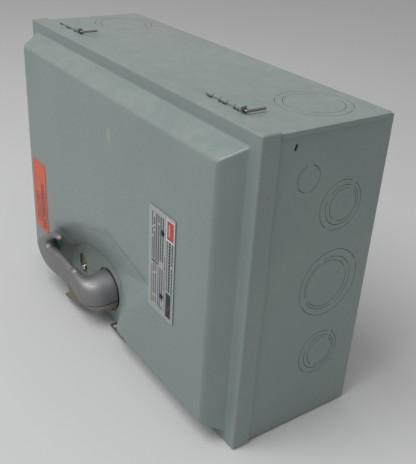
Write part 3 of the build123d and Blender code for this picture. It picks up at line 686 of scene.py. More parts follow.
def smooth_by_angle(obj: bpy.types.Object, degrees: float = 35.0) -> bpy.types.Object:
    """Shade smooth, with edges sharper than an angle kept crisp."""
    obj.data.polygons.foreach_set("use_smooth", [True] * len(obj.data.polygons))
    obj.data.set_sharp_from_angle(angle=math.radians(degrees))
    return obj


def merged(parts: list[bpy.types.Object], name: str) -> bpy.types.Object:
    """Join several mesh objects into one at the origin."""
    shape = bmesh.new()
    for part in parts:
        part.data.transform(part.matrix_world)
        shape.from_mesh(part.data)
        bpy.data.objects.remove(part)
    return object_of(shape, name)


def bevelled(obj: bpy.types.Object, width: float, segments: int = 2) -> bpy.types.Object:
    """Round an object's edges and freeze it."""
    modifier = obj.modifiers.new("soft edges", "BEVEL")
    modifier.width, modifier.segments, modifier.limit_method = width, segments, "ANGLE"
    modifier.angle_limit = math.radians(35)
    return smooth_by_angle(freeze(obj))


def slab(name: str, outline: list[Point], back: float, front: float, holes=()) -> bpy.types.Object:
    """Make a flat plate in the XZ plane with holes.

    Args:
        name: the object's name.
        outline: corners as (x, z), anticlockwise as seen from the front.
        back: y of the back.
        front: y of the front, less than back.
        holes: loops of points to leave out.

    Returns:
        The plate.
    """
    verts, faces = triangulate([], [outline, *holes], holes)
    shape = bmesh.new()
    near = [shape.verts.new((x, front, z)) for x, z in verts]
    far = [shape.verts.new((x, back, z)) for x, z in verts]
    for a, b, c in faces:
        shape.faces.new((near[a], near[b], near[c]))
        shape.faces.new((far[c], far[b], far[a]))
    rim = [e for e in shape.edges if len(e.link_faces) == 1 and e.verts[0] in set(near)]
    index = {v: i for i, v in enumerate(near)}
    for edge in rim:
        loop = edge.link_loops[0]
        a, b = loop.vert, loop.link_loop_next.vert
        shape.faces.new((b, a, far[index[a]], far[index[b]]))
    bmesh.ops.dissolve_limit(shape, angle_limit=0.01, verts=shape.verts, edges=shape.edges)
    return object_of(shape, name)


def circle(centre: Point, radius: float, count: int = 48) -> list[Point]:
    """Give points round a circle, anticlockwise."""
    return [(centre[0] + radius * math.cos(2 * math.pi * k / count),
             centre[1] + radius * math.sin(2 * math.pi * k / count)) for k in range(count)]


def oval(centre: Point, width: float, height: float, count: int = 24) -> list[Point]:
    """Give points round an upright slot with round ends, anticlockwise."""
    radius, lift = width / 2, (height - width) / 2
    top = [(centre[0] + radius * math.cos(math.pi * k / count),
            centre[1] + lift + radius * math.sin(math.pi * k / count)) for k in range(count + 1)]
    low = [(2 * centre[0] - x, 2 * centre[1] - z) for x, z in top]
    return top + low


def box_loop(centre: Point, width: float, height: float) -> list[Point]:
    """Give the corners of a rectangle, anticlockwise."""
    (x, z), w, h = centre, width / 2, height / 2
    return [(x - w, z - h), (x + w, z - h), (x + w, z + h), (x - w, z + h)]


def rounded_loop(centre: Point, width: float, height: float, radius: float, steps: int = 6) -> list[Point]:
    """Give the outline of a rectangle with round corners, anticlockwise."""
    points = []
    for quarter, (sx, sz) in enumerate(((1, -1), (1, 1), (-1, 1), (-1, -1))):
        cx = centre[0] + sx * (width / 2 - radius)
        cz = centre[1] + sz * (height / 2 - radius)
        for k in range(steps + 1):
            turn = math.pi / 2 * (quarter - 1 + k / steps)
            points.append((cx + radius * math.cos(turn), cz + radius * math.sin(turn)))
    return points


def spline_loop(corners: list[Point], steps: int = 8) -> list[Point]:
    """Run a smooth closed curve through corners."""
    pts, out = np.array(corners), []
    count = len(pts)
    for i in range(count):
        p0, p1, p2, p3 = (pts[(i + k - 1) % count] for k in range(4))
        for s in range(steps):
            t = s / steps
            out.append(tuple(0.5 * (2 * p1 + (p2 - p0) * t + (2 * p0 - 5 * p1 + 4 * p2 - p3) * t**2
                                    + (3 * p1 - p0 - 3 * p2 + p3) * t**3)))
    return out


def inside(points: np.ndarray, loop: list[Point]) -> np.ndarray:
    """Tell which points lie inside a closed loop."""
    x, z = points[:, 0], points[:, 1]
    hit = np.zeros(len(points), bool)
    for (x0, z0), (x1, z1) in zip(loop, loop[1:] + loop[:1]):
        if z0 == z1:
            continue
        crosses = (z0 > z) != (z1 > z)
        hit ^= crosses & (x < (x1 - x0) * (z - z0) / (z1 - z0) + x0)
    return hit


def edge_distance(points: np.ndarray, loop: list[Point]) -> np.ndarray:
    """Give each point's distance to a closed loop."""
    best = np.full(len(points), 1e9)
    for start, end in zip(loop, loop[1:] + loop[:1]):
        a, d = np.array(start), np.array(end) - np.array(start)
        t = np.clip(((points - a) @ d) / max(d @ d, 1e-18), 0, 1)
        best = np.minimum(best, np.linalg.norm(points - a - t[:, None] * d, axis=1))
    return best


def triangulate(points, loops: list[list[Point]], holes=()) -> tuple[np.ndarray, list]:
    """Join points and loops into triangles, and leave the holes open.

    Args:
        points: free points as (x, z).
        loops: closed loops whose edges have to appear; the first is the outline.
        holes: the loops that bound openings.

    Returns:
        The vertices as an array and the triangles.
    """
    coords, edges = [Vector(p) for p in points], []
    for loop in loops:
        first = len(coords)
        coords += [Vector(p) for p in loop]
        edges += [(first + k, first + (k + 1) % len(loop)) for k in range(len(loop))]
    verts, _, faces, *_ = delaunay_2d_cdt(coords, edges, [], 0, 1e-7)
    verts = np.array([tuple(v) for v in verts])
    centres = np.array([verts[list(f)].mean(0) for f in faces])
    keep = inside(centres, loops[0]) if loops else np.ones(len(faces), bool)
    for hole in holes:
        keep &= ~inside(centres, hole)
    return verts, [f for f, ok in zip(faces, keep) if ok]


def shell(name: str, verts: np.ndarray, normals: np.ndarray, faces: list,
          thickness: float) -> bpy.types.Object:
    """Give an open surface a wall thickness behind it, with true normals.

    Args:
        name: the object's name.
        verts: points of the outer surface.
        normals: outward unit normals at the points.
        faces: faces of the outer surface.
        thickness: how thick the wall is.

    Returns:
        The closed shell.
    """
    count = len(verts)
    points = np.vstack([verts, verts - normals * thickness])
    uses: dict[tuple[int, int], int] = {}
    for face in faces:
        for a, b in zip(face, (*face[1:], face[0])):
            uses[(a, b)] = 1
    rim = [(b, a, a + count, b + count) for a, b in uses if (b, a) not in uses]
    everything = list(faces) + [tuple(i + count for i in reversed(f)) for f in faces] + rim
    obj = object_from(name, points, everything)
    both = np.vstack([normals, -normals])
    loops = np.zeros((len(obj.data.loops), 3), np.float32)
    index = np.zeros(len(obj.data.loops), np.int32)
    obj.data.loops.foreach_get("vertex_index", index)
    loops[:] = both[index]
    for polygon in obj.data.polygons[2 * len(faces):]:
        loops[polygon.loop_start:polygon.loop_start + polygon.loop_total] = polygon.normal
    obj.data.normals_split_custom_set([tuple(n) for n in loops])
    return obj


def smooth_above(x: np.ndarray, width: float) -> np.ndarray:
    """Give max(0, x) with its corner rounded over twice the width."""
    return np.where(x < -width, 0.0, np.where(x > width, x, (x + width) ** 2 / (4 * width)))


def smooth_lower(a: np.ndarray, b: np.ndarray, width: float) -> np.ndarray:
    """Give min(a, b) with the crease between them rounded."""
    return np.minimum(a, b) - np.maximum(width - np.abs(a - b), 0.0) ** 2 / (4 * width)


# --- the cover ------------------------------------------------------------------------------------
@dataclass
class DrawnCover:
    """The drawn steel cover: flange, domed face, and the recess round the handle."""

    sheet: float = 1.5 * MM
    band: float = 12 * MM
    inset: float = 22.5 * MM
    dome: float = 20.5 * MM
    depth: float = 17 * MM
    bend: float = 2 * MM
    base_round: float = 2.6 * MM
    crest_round: float = 5.0 * MM
    hip_round: float = 2.2 * MM
    hub_hole: float = 24.3 * MM
    window: Point = (-91 * MM, 37 * MM)
    window_size: Point = (19 * MM, 23 * MM)
    catch_at: Point = (9 * MM, 7.6 * MM)
    catch_size: Point = (33 * MM, 4.2 * MM)
    weld_offset: Point = (9 * MM, 62 * MM)
    weld_radius: float = 1.2 * MM
    recess_blend: float = 9.0 * MM
    finest: int = 5
    tolerance: float = 0.035 * MM
    floor: tuple = ((-131, -6), (-108, 50), (-71, 68), (-21, 72), (2, 60), (4, 40), (4, -6))
    rim: tuple = ((-141, -6), (-112, 76), (-66, 101), (12, 125), (86, 110), (44, 66), (10, -6))

    def height(self, points: np.ndarray) -> np.ndarray:
        """Give how far the surface stands in front of the flange at (x, z) points."""
        dx = LENGTH / 2 - np.abs(points[:, 0])
        dz = HEIGHT / 2 - np.abs(points[:, 1] - HEIGHT / 2)
        inset = smooth_lower(dx, dz, self.hip_round)
        ramp = (inset - self.band) * self.dome / (self.inset - self.band)
        domed = self.dome - smooth_above(self.dome - ramp, self.crest_round)
        floor = in_metres(self.floor)
        rim = in_metres(self.rim)
        to_floor, to_rim = edge_distance(points, floor), edge_distance(points, rim)
        in_floor, in_rim = inside(points, floor), inside(points, rim)
        slope = self.dome * to_floor / np.maximum(to_floor + to_rim, 1e-9)
        hollow = np.where(in_floor, -0.8 * to_floor, np.where(in_rim, slope, self.dome + 0.8 * to_rim))
        both = smooth_lower(domed, hollow, self.recess_blend)
        lift = smooth_above(both, self.base_round)
        return lift + sheet_wave(points) * np.clip(lift / self.dome, 0, 1)

    def sample(self) -> np.ndarray:
        """Give points that are close together only where the surface bends."""
        half, low, high = LENGTH / 2 - self.bend, self.bend, HEIGHT - self.bend
        columns, rows = 30, 22
        size = np.array([2 * half / columns, (high - low) / rows])
        grid = grid_of(np.arange(columns), np.arange(rows))
        cells = np.array([-half, low]) + grid * size
        found = []
        quarters = np.array([(0, 0), (1, 0), (0, 1), (1, 1)])
        for level in range(self.finest):
            steps = np.array([(i / 4, j / 4) for i in range(5) for j in range(5)])
            probes = (cells[:, None, :] + steps[None] * size).reshape(-1, 2)
            values = self.height(probes).reshape(-1, 5, 5)
            u = np.arange(5) / 4
            flat = (values[:, :1, :1] * (1 - u)[None, :, None] * (1 - u)[None, None, :]
                    + values[:, 4:, :1] * u[None, :, None] * (1 - u)[None, None, :]
                    + values[:, :1, 4:] * (1 - u)[None, :, None] * u[None, None, :]
                    + values[:, 4:, 4:] * u[None, :, None] * u[None, None, :])
            rough = np.abs(values - flat).max((1, 2)) > self.tolerance
            last = level == self.finest - 1
            done = cells if last else cells[~rough]
            for corner in quarters:
                found.append(done + corner * size)
            if last:
                break
            size = size / 2
            cells = np.concatenate([cells[rough] + corner * size for corner in quarters])
        points = np.concatenate(found)
        return np.unique(np.round(points, 7), axis=0)

    def holes(self) -> list[list[Point]]:
        """Give the loops of the hub hole, the window, the weld holes and the catch's slot."""
        offset, height = self.weld_offset
        weld = [circle((self.window[0] + s * offset, height), self.weld_radius, 14) for s in (-1, 1)]
        return [circle((HUB_X, HUB_Z), self.hub_hole, 96), oval(self.window, *self.window_size),
                box_loop(self.catch_at, *self.catch_size), *weld]

    def build(self) -> bpy.types.Object:
        """Build the cover as one closed shell."""
        half, low, high = LENGTH / 2 - self.bend, self.bend, HEIGHT - self.bend
        points, holes = self.sample(), self.holes()
        keep = np.ones(len(points), bool)
        for hole in holes:
            keep &= ~inside(points, hole) & (edge_distance(points, hole) > 0.5 * MM)
        frame_loop = box_loop((0.0, HEIGHT / 2), 2 * half, high - low)
        flat, faces = triangulate(points[keep], [frame_loop, *holes], holes)
        step = 0.05 * MM
        level = self.height(flat)
        slope_x = (self.height(flat + [step, 0]) - self.height(flat - [step, 0])) / (2 * step)
        slope_z = (self.height(flat + [0, step]) - self.height(flat - [0, step])) / (2 * step)
        verts = [np.array([x, FLANGE_Y - h, z]) for (x, z), h in zip(flat, level)]
        normals = [np.array([-a, -1.0, -b]) / math.sqrt(1 + a * a + b * b)
                   for a, b in zip(slope_x, slope_z)]
        faces = [tuple(f) for f in faces]
        self._add_flange(flat, verts, normals, faces, half, low, high)
        return shell("drawn_cover", np.array(verts), np.array(normals), faces, self.sheet)

    def _add_flange(self, flat: np.ndarray, verts: list, normals: list, faces: list,
                    half: float, low: float, high: float) -> None:
        """Add the rounded outer bend and the return behind it.

        Args:
            flat: the (x, z) points of the front.
            verts: vertex list, added to.
            normals: normal list, added to.
            faces: face list, added to.
            half: half width of the front's frame.
            low: its lowest z.
            high: its highest z.
        """
        near = 1e-6
        sides = [
            (np.abs(flat[:, 1] - low) < near, 0, 1, (0.0, -1.0)),
            (np.abs(flat[:, 0] - half) < near, 1, 1, (1.0, 0.0)),
            (np.abs(flat[:, 1] - high) < near, 0, -1, (0.0, 1.0)),
            (np.abs(flat[:, 0] + half) < near, 1, -1, (-1.0, 0.0)),
        ]
        entries = []
        corner_steps = 5
        for mask, axis, sign, out in sides:
            found = np.nonzero(mask)[0]
            found = found[np.argsort(sign * flat[found, axis])]
            entries += [(int(i), out) for i in found[:-1]]
            corner, turn = int(found[-1]), math.atan2(out[1], out[0])
            for k in range(corner_steps):
                angle = turn + math.pi / 2 * k / corner_steps
                entries.append((corner, (math.cos(angle), math.sin(angle))))
        ring = [index for index, _ in entries]
        profile = [(self.bend * math.sin(a), self.bend * (1 - math.cos(a)), a)
                   for a in (math.pi / 2 * k / 5 for k in range(1, 6))]
        profile += [(self.bend, y, math.pi / 2) for y in (9 * MM, self.depth)]
        for reach, back, angle in profile:
            new = []
            for index, out in entries:
                x, z = flat[index]
                verts.append(np.array([x + out[0] * reach, FLANGE_Y + back, z + out[1] * reach]))
                normals.append(np.array([out[0] * math.sin(angle), -math.cos(angle),
                                         out[1] * math.sin(angle)]))
                new.append(len(verts) - 1)
            for k in range(len(ring)):
                n = (k + 1) % len(ring)
                face = (ring[k], new[k], new[n], ring[n])
                faces.append(face if ring[k] != ring[n] else face[:3])
            ring = new


# --- the handle -----------------------------------------------------------------------------------
@dataclass
class CastHandle:
    """The cast lever handle: hub, elbow, crowned arm and hooked tip."""

    front: float = 34.6 * MM
    back: float = 21.4 * MM
    edge: float = 11.0 * MM
    tip_edge: float = 5.0 * MM
    tip_from: float = -112 * MM
    tip_over: float = 26 * MM
    voxel: float = 0.75 * MM
    steps: int = 6
    slot_x: Point = (-83 * MM, -35 * MM)
    slot_z: Point = (14.5 * MM, 45.5 * MM)
    slot_y: Point = (26.3 * MM, 28.7 * MM)
    path: tuple = (
        # x, y in front of the flange, z, half height, half thickness, direction in degrees
        (-28, -0.6, 36.8, 22.2, 22.4, 0), (-28, 3, 36.8, 22, 22.2, 0), (-28, 11, 37, 20.8, 21, 2),
        (-28.3, 17, 37.4, 19.4, 19.2, 12), (-30, 21.5, 38.2, 17.8, 16.2, 30),
        (-33.5, 25, 39.6, 16, 12.6, 50), (-39, 27, 41.8, 13.6, 9.2, 70),
        (-47, 27.8, 43.8, 12.0, 7.2, 84), (-58, 28, 44.0, 11.6, 6.3, 90),
        (-80, 28, 42.9, 11.8, 5.2, 90),
    )
    outline: tuple = (
        (-44, 33), (-56, 31.8), (-74, 29.4), (-92, 27.4), (-110, 27), (-122, 28.6), (-132, 32),
        (-139.5, 37.5), (-143.4, 44.5), (-143.4, 50.5), (-140.5, 55.5), (-132, 60.8), (-121, 68),
        (-110, 75), (-102, 78.6), (-94, 80.8), (-86.4, 80.4), (-84.9, 77.8), (-86.8, 75.4),
        (-95, 74.0), (-101.5, 71.4), (-108.5, 66.4), (-116, 59.8), (-114.6, 56.2), (-107, 56.4),
        (-94, 57.4), (-76, 57), (-60, 56.4), (-48, 55.8),
    )

    def _eased(self, steps: int) -> np.ndarray:
        """Run a smooth curve through the path's rows.

        Args:
            steps: how many rows stand for each of the path's.

        Returns:
            The rows, closer together.
        """
        rows = np.array(self.path, float)
        ends = np.vstack([2 * rows[0] - rows[1], rows, 2 * rows[-1] - rows[-2]])
        found = []
        for a, b, c, d in zip(ends, ends[1:], ends[2:], ends[3:]):
            for t in np.arange(steps) / steps:
                found.append(0.5 * (2 * b + (c - a) * t + (2 * a - 5 * b + 4 * c - d) * t * t
                                    + (3 * b - a - 3 * c + d) * t ** 3))
        return np.vstack([found, rows[-1:]])

    def _tube(self) -> bpy.types.Object:
        """Sweep rounded sections along the hub, elbow and arm."""
        around, verts, faces = 64, [], []
        path = self._eased(self.steps)
        for x, out, z, tall, thick, turn in path:
            a = math.radians(turn)
            side = Vector((math.cos(a), math.sin(a), 0.0))
            power = 2.0 + 0.5 * (turn / 90.0)
            for k in range(around):
                t = 2 * math.pi * k / around
                c, s = math.cos(t), math.sin(t)
                across = math.copysign(abs(c) ** (2 / power), c) * thick
                up = math.copysign(abs(s) ** (2 / power), s) * tall
                verts.append(((x + side.x * across) * MM, FLANGE_Y - out * MM - side.y * across * MM,
                              (z + up) * MM))
        rings = len(path)
        for r in range(rings - 1):
            for k in range(around):
                n = (k + 1) % around
                faces.append((r * around + k, r * around + n, (r + 1) * around + n, (r + 1) * around + k))
        faces.append(tuple(range(around)))
        faces.append(tuple(reversed(range((rings - 1) * around, rings * around))))
        return object_from("tube", verts, faces)

    def _arm(self) -> bpy.types.Object:
        """Raise the crowned arm and its hook from their outline."""
        loop = in_metres(spline_loop(list(self.outline), 6))
        xs = np.arange(-150, -44, 1.6) * MM
        zs = np.arange(16, 88, 1.6) * MM
        grid = grid_of(xs, zs)
        grid = grid[inside(grid, loop) & (edge_distance(grid, loop) > 0.7 * MM)]
        flat, tris = triangulate(grid, [loop])
        deep = np.where(inside(flat, loop), edge_distance(flat, loop), 0.0)
        along = np.clip((flat[:, 0] - self.tip_from) / self.tip_over, 0, 1)
        edge = self.tip_edge + (self.edge - self.tip_edge) * along
        fall = 1 - np.sqrt(np.clip(1 - (1 - np.clip(deep / edge, 0, 1)) ** 2, 0, 1))
        half = (self.front - self.back) / 2
        middle = FLANGE_Y - (self.front + self.back) / 2
        near = middle - half * (1 - fall)
        far = middle + half * (1 - fall * 0.85)
        count = len(flat)
        verts = [(x, y, z) for (x, z), y in zip(flat, near)] + [(x, y, z) for (x, z), y in zip(flat, far)]
        faces = [tuple(t) for t in tris] + [tuple(i + count for i in reversed(t)) for t in tris]
        edges = {(a, b) for t in tris for a, b in zip(t, (*t[1:], t[0]))}
        faces += [(b, a, a + count, b + count) for a, b in edges if (b, a) not in edges]
        return object_from("arm", verts, faces)

    def build(self) -> bpy.types.Object:
        """Fuse the tube and the arm, then smooth the joins as a casting's are."""
        obj = cleaned(merged([self._tube(), self._arm()], "cast_handle"), 1e-6)
        remesh = obj.modifiers.new("fuse", "REMESH")
        remesh.mode, remesh.voxel_size = "VOXEL", self.voxel
        remesh.use_smooth_shade = True
        settle = obj.modifiers.new("settle", "SMOOTH")
        settle.factor, settle.iterations = 0.5, 20
        return self._cut_slot(freeze(obj, "cast_handle"))

    def _cut_slot(self, body: bpy.types.Object) -> bpy.types.Object:
        """Cut the slot that the hasp swings in, open below."""
        corners = [(x, FLANGE_Y - y, z) for x in self.slot_x for y in self.slot_y for z in self.slot_z]
        sides = [(0, 2, 3, 1), (4, 5, 7, 6), (0, 1, 5, 4), (2, 6, 7, 3), (0, 4, 6, 2), (1, 3, 7, 5)]
        cutter = cleaned(object_from("slot_cutter", corners, sides, False))
        return smooth_by_angle(carved(body, cutter, "cast_handle"), 40.0)


@dataclass
class Hasp:
    """The padlock plate that swings in the slot of the handle's arm."""

    front: float = 28.3 * MM
    sheet: float = 1.6 * MM
    pivot: Point = (-46 * MM, 36 * MM)
    pin_hole: float = 2.05 * MM
    corners: tuple = ((-40, 40), (-38, 19), (-54, 12.6), (-68, 9.6), (-79, 8.4), (-81, 10), (-74.5, 15),
                      (-71, 18), (-69.5, 21), (-71.5, 24), (-76, 26), (-77, 34), (-60, 40))

    def build(self) -> bpy.types.Object:
        """Build the plate with its pin hole."""
        holes = [circle(self.pivot, self.pin_hole, 24)]
        back = FLANGE_Y - self.front + self.sheet
        plate = slab("hasp_lever", in_metres(self.corners), back, back - self.sheet, holes)
        return bevelled(plate, 0.35 * MM)


# --- hinges, fasteners and small trim -------------------------------------------------------------
class FastenerTree:
    """A geometry tree that sets one head on every point, each turned by its own angle."""

    def __init__(self) -> None:
        """Build the tree once."""
        tree = bpy.data.node_groups.new("heads on points", "GeometryNodeTree")
        sockets = (("Geometry", "Geometry", None), ("Head", "Object", None), ("Size", "Float", 1.0),
                   ("Turn", "Float", 0.0), ("Seed", "Int", 3), ("Finish", "Material", None))
        for label, kind, default in sockets:
            socket = tree.interface.new_socket(label, in_out="INPUT", socket_type=f"NodeSocket{kind}")
            if default is not None:
                socket.default_value = default
        tree.interface.new_socket("Geometry", in_out="OUTPUT", socket_type="NodeSocketGeometry")
        g = Graph(tree)
        ins, outs = g.add("NodeGroupInput"), g.add("NodeGroupOutput")
        head = g.add("GeometryNodeObjectInfo", transform_space="RELATIVE")
        g.put(head.inputs["Object"], ins.outputs["Head"])
        turn = g.add("FunctionNodeRandomValue", data_type="FLOAT")
        g.put(turn.inputs[2], g.math("MULTIPLY", ins.outputs["Turn"], -1.0))
        g.put(turn.inputs[3], ins.outputs["Turn"])
        g.put(turn.inputs["Seed"], ins.outputs["Seed"])
        place = g.add("GeometryNodeInstanceOnPoints")
        g.put(place.inputs["Points"], ins.outputs["Geometry"])
        g.put(place.inputs["Instance"], head.outputs["Geometry"])
        spin = g.add("FunctionNodeEulerToRotation")
        g.put(spin.inputs[0], g.join(0.0, turn.outputs[1], 0.0))
        g.put(place.inputs["Rotation"], spin.outputs[0])
        g.put(place.inputs["Scale"], g.join(ins.outputs["Size"], ins.outputs["Size"], ins.outputs["Size"]))
        real = g.add("GeometryNodeRealizeInstances")
        g.put(real.inputs[0], place.outputs[0])
        paint = g.add("GeometryNodeSetMaterial")
        g.put(paint.inputs["Geometry"], real.outputs[0])
        g.put(paint.inputs["Material"], ins.outputs["Finish"])
        g.put(outs.inputs[0], paint.outputs[0])
        self.tree = tree

    def scatter(self, name: str, head: bpy.types.Object, points: list, finish: bpy.types.Material,
                turn: float = 0.0, seed: int = 3) -> bpy.types.Object:
        """Set a head on each point and return one plain mesh.

        Args:
            name: the new piece's name.
            head: the head, modelled at the origin, which is removed.
            points: where the heads go.
            finish: the material.
            turn: how far a head may be turned either way, in radians.
            seed: seed of the turns.

        Returns:
            The piece.
        """
        mesh = bpy.data.meshes.new(name)
        mesh.from_pydata(points, [], [])
        obj = linked(name, mesh)
        modifier = obj.modifiers.new("heads", "NODES")
        modifier.node_group = self.tree
        sockets = {item.name: item.identifier for item in self.tree.interface.items_tree
                   if item.item_type == "SOCKET" and item.in_out == "INPUT"}
        for label, value in (("Head", head), ("Size", 1.0), ("Turn", turn), ("Seed", seed),
                             ("Finish", finish)):
            modifier[sockets[label]] = value
        piece = smooth_by_angle(freeze(obj, name), 32)
        bpy.data.objects.remove(head)
        return piece


def lathe(name: str, profile: list[Point], segments: int = 28, axis: str = "Y") -> bpy.types.Object:
    """Turn a closed profile of (radius, along) points about an axis; along runs towards the front.

    Args:
        name: the object's name.
        profile: points from the axis or a bore, listed so that faces point out.
        segments: how many steps round.
        axis: "Y" for a head that faces the front, or "X" for a barrel along X.

    Returns:
        The turned object.
    """
    verts, faces = [], []
    count = len(profile)
    for k in range(segments):
        t = 2 * math.pi * k / segments
        for radius, along in profile:
            c, s = radius * math.cos(t), radius * math.sin(t)
            verts.append((c, -along, s) if axis == "Y" else (along, c, s))
    for k in range(segments):
        n = (k + 1) % segments
        for i in range(count):
            j = (i + 1) % count
            faces.append((k * count + i, k * count + j, n * count + j, n * count + i))
    return cleaned(object_from(name, verts, faces), 1e-7, 1e-8)


@dataclass
class WireHinges:
    """Two hinges of curled tabs round a wire with a bent tail."""

    centres: tuple[float, float] = (-149 * MM, 131 * MM)
    length: float = 48 * MM
    knuckles: int = 5
    radius: float = 2.0 * MM
    wire: float = 1.1 * MM
    tail: float = 18 * MM
    y: float = FLANGE_Y + 20.6 * MM
    z: float = HEIGHT - 1.8 * MM + 2.7 * MM

    def _barrel(self, width: float) -> bpy.types.Object:
        """Turn one knuckle with softened ends."""
        r, bore, w, soft = self.radius, self.wire + 0.12 * MM, width / 2, 0.35 * MM
        return lathe("barrel", [(bore, -w), (r - soft, -w), (r, soft - w), (r, w - soft), (r - soft, w),
                                (bore, w)],
                     22, "X")

    def row(self, heads: FastenerTree, name: str, which: int,
            finish: bpy.types.Material) -> bpy.types.Object:
        """Build the box's knuckles (0) or the cover's (1), with the tabs that carry them."""
        step = self.length / self.knuckles
        places = [(c + (k - (self.knuckles - 1) / 2) * step, self.y, self.z)
                  for c in self.centres for k in range(self.knuckles) if k % 2 == which]
        barrels = heads.scatter(name, self._barrel(step - 0.7 * MM), places, finish)
        tabs = []
        for x, y, z in places:
            w = step / 2 - 0.5 * MM
            if which:
                tabs.append(self._block(x, w, FLANGE_Y + 16.6 * MM, y, HEIGHT - 1.5 * MM,
                                        HEIGHT + 0.1 * MM))
            else:
                tabs.append(self._block(x, w, y + 0.5 * MM, y + 2.0 * MM, HEIGHT - 1.9 * MM, z))
        return smooth_by_angle(merged([barrels, *tabs], name))

    @staticmethod
    def _block(x: float, half: float, y0: float, y1: float, z0: float, z1: float) -> bpy.types.Object:
        """Make one short tab with softened edges."""
        return bevelled(cuboid("tab", (x - half, x + half), (y0, y1), (z0, z1)), 0.3 * MM)

    def wires(self) -> bpy.types.Object:
        """Bend both hinge wires, each with a tail that lies on the box."""
        parts = []
        for c in self.centres:
            low, high = c - self.length / 2 - 1 * MM, c + self.length / 2 + 3 * MM
            curve = bpy.data.curves.new("wire", "CURVE")
            curve.dimensions, curve.bevel_depth, curve.bevel_resolution = "3D", self.wire, 4
            curve.use_fill_caps = True
            line = curve.splines.new("NURBS")
            points = [(low, self.y), (c, self.y), (high - 3 * MM, self.y), (high, self.y),
                      (high, self.y + 3 * MM),
                      (high + 0.2 * MM, self.y + 10 * MM), (high, self.y + self.tail)]
            line.points.add(len(points) - 1)
            for point, (x, y) in zip(line.points, points):
                point.co = (x, y, self.z, 1.0)
            line.order_u, line.use_endpoint_u, line.resolution_u = 3, True, 8
            parts.append(freeze(linked("wire", curve)))
        return smooth_by_angle(merged(parts, "hinge_wires"), 50)

    def end_loops(self) -> bpy.types.Object:
        """Build the square loops that hold the wires' bent ends."""
        parts = []
        for c in self.centres:
            x = c + self.length / 2 - 0.9 * MM
            outline = rounded_loop((self.y, self.z + 0.1 * MM), 6.0 * MM, 6.2 * MM, 1.2 * MM, 3)
            hole = circle((self.y, self.z), self.wire + 0.2 * MM, 20)
            plate = slab("loop", outline, 0.9 * MM, -0.9 * MM, [hole])
            plate.data.transform(Matrix(((0, 1, 0, x), (1, 0, 0, 0), (0, 0, 1, 0), (0, 0, 0, 1))))
            plate.data.flip_normals()
            parts.append(bevelled(plate, 0.25 * MM))
        return merged(parts, "hinge_end_loops")

    def build(self, palette: Palette, heads: FastenerTree) -> None:
        """Build every hinge piece and put it on its body."""
        paint = palette.materials[Slot.PAINT]
        box_side = merged([self.row(heads, "box_knuckles", 0, paint), self.end_loops()], "box_knuckles")
        palette.finish_piece(box_side, Slot.PAINT, "enclosure", "hinge_loops")
        palette.finish_piece(self.row(heads, "lid_knuckles", 1, paint), Slot.PAINT, "cover",
                             "cover_knuckles")
        palette.finish_piece(self.wires(), Slot.STEEL, "enclosure", "hinge_pins")


@dataclass
class ScrewHeads:
    """The shapes of the heads of rivets and screws."""

    @staticmethod
    def rivet(radius: float, height: float) -> bpy.types.Object:
        """Turn a domed rivet head, flat behind."""
        dome = [(radius * math.cos(a), height * (0.25 + 0.75 * math.sin(a)))
                for a in (math.pi / 2 * k / 7 for k in range(8))]
        return lathe("rivet", [(0.0, 0.0), (radius, 0.0), *dome[:-1], (0.0, height)])

    @staticmethod
    def slotted(radius: float, height: float, slot: float, shank: float, length: float) -> bpy.types.Object:
        """Turn a pan head on a threaded shank and cut its slot."""
        soft = 0.25 * height
        profile = [(0.0, -length), (shank, -length)]
        turns = max(3, int(length / (1.1 * MM)))
        for k in range(turns):
            profile += [(shank, -length + length * (k + 0.3) / turns),
                        (shank * 0.86, -length + length * (k + 0.8) / turns)]
        profile += [(shank, 0.0), (radius, 0.0), (radius, height - soft), (radius - soft, height),
                    (0.0, height)]
        head = lathe("screw", profile, 28)
        reach = radius * 1.2
        cutter = cuboid("slot", (-reach, reach), (-height * 1.3, -height * 0.5), (-slot / 2, slot / 2))
        return carved(head, cutter, "screw")


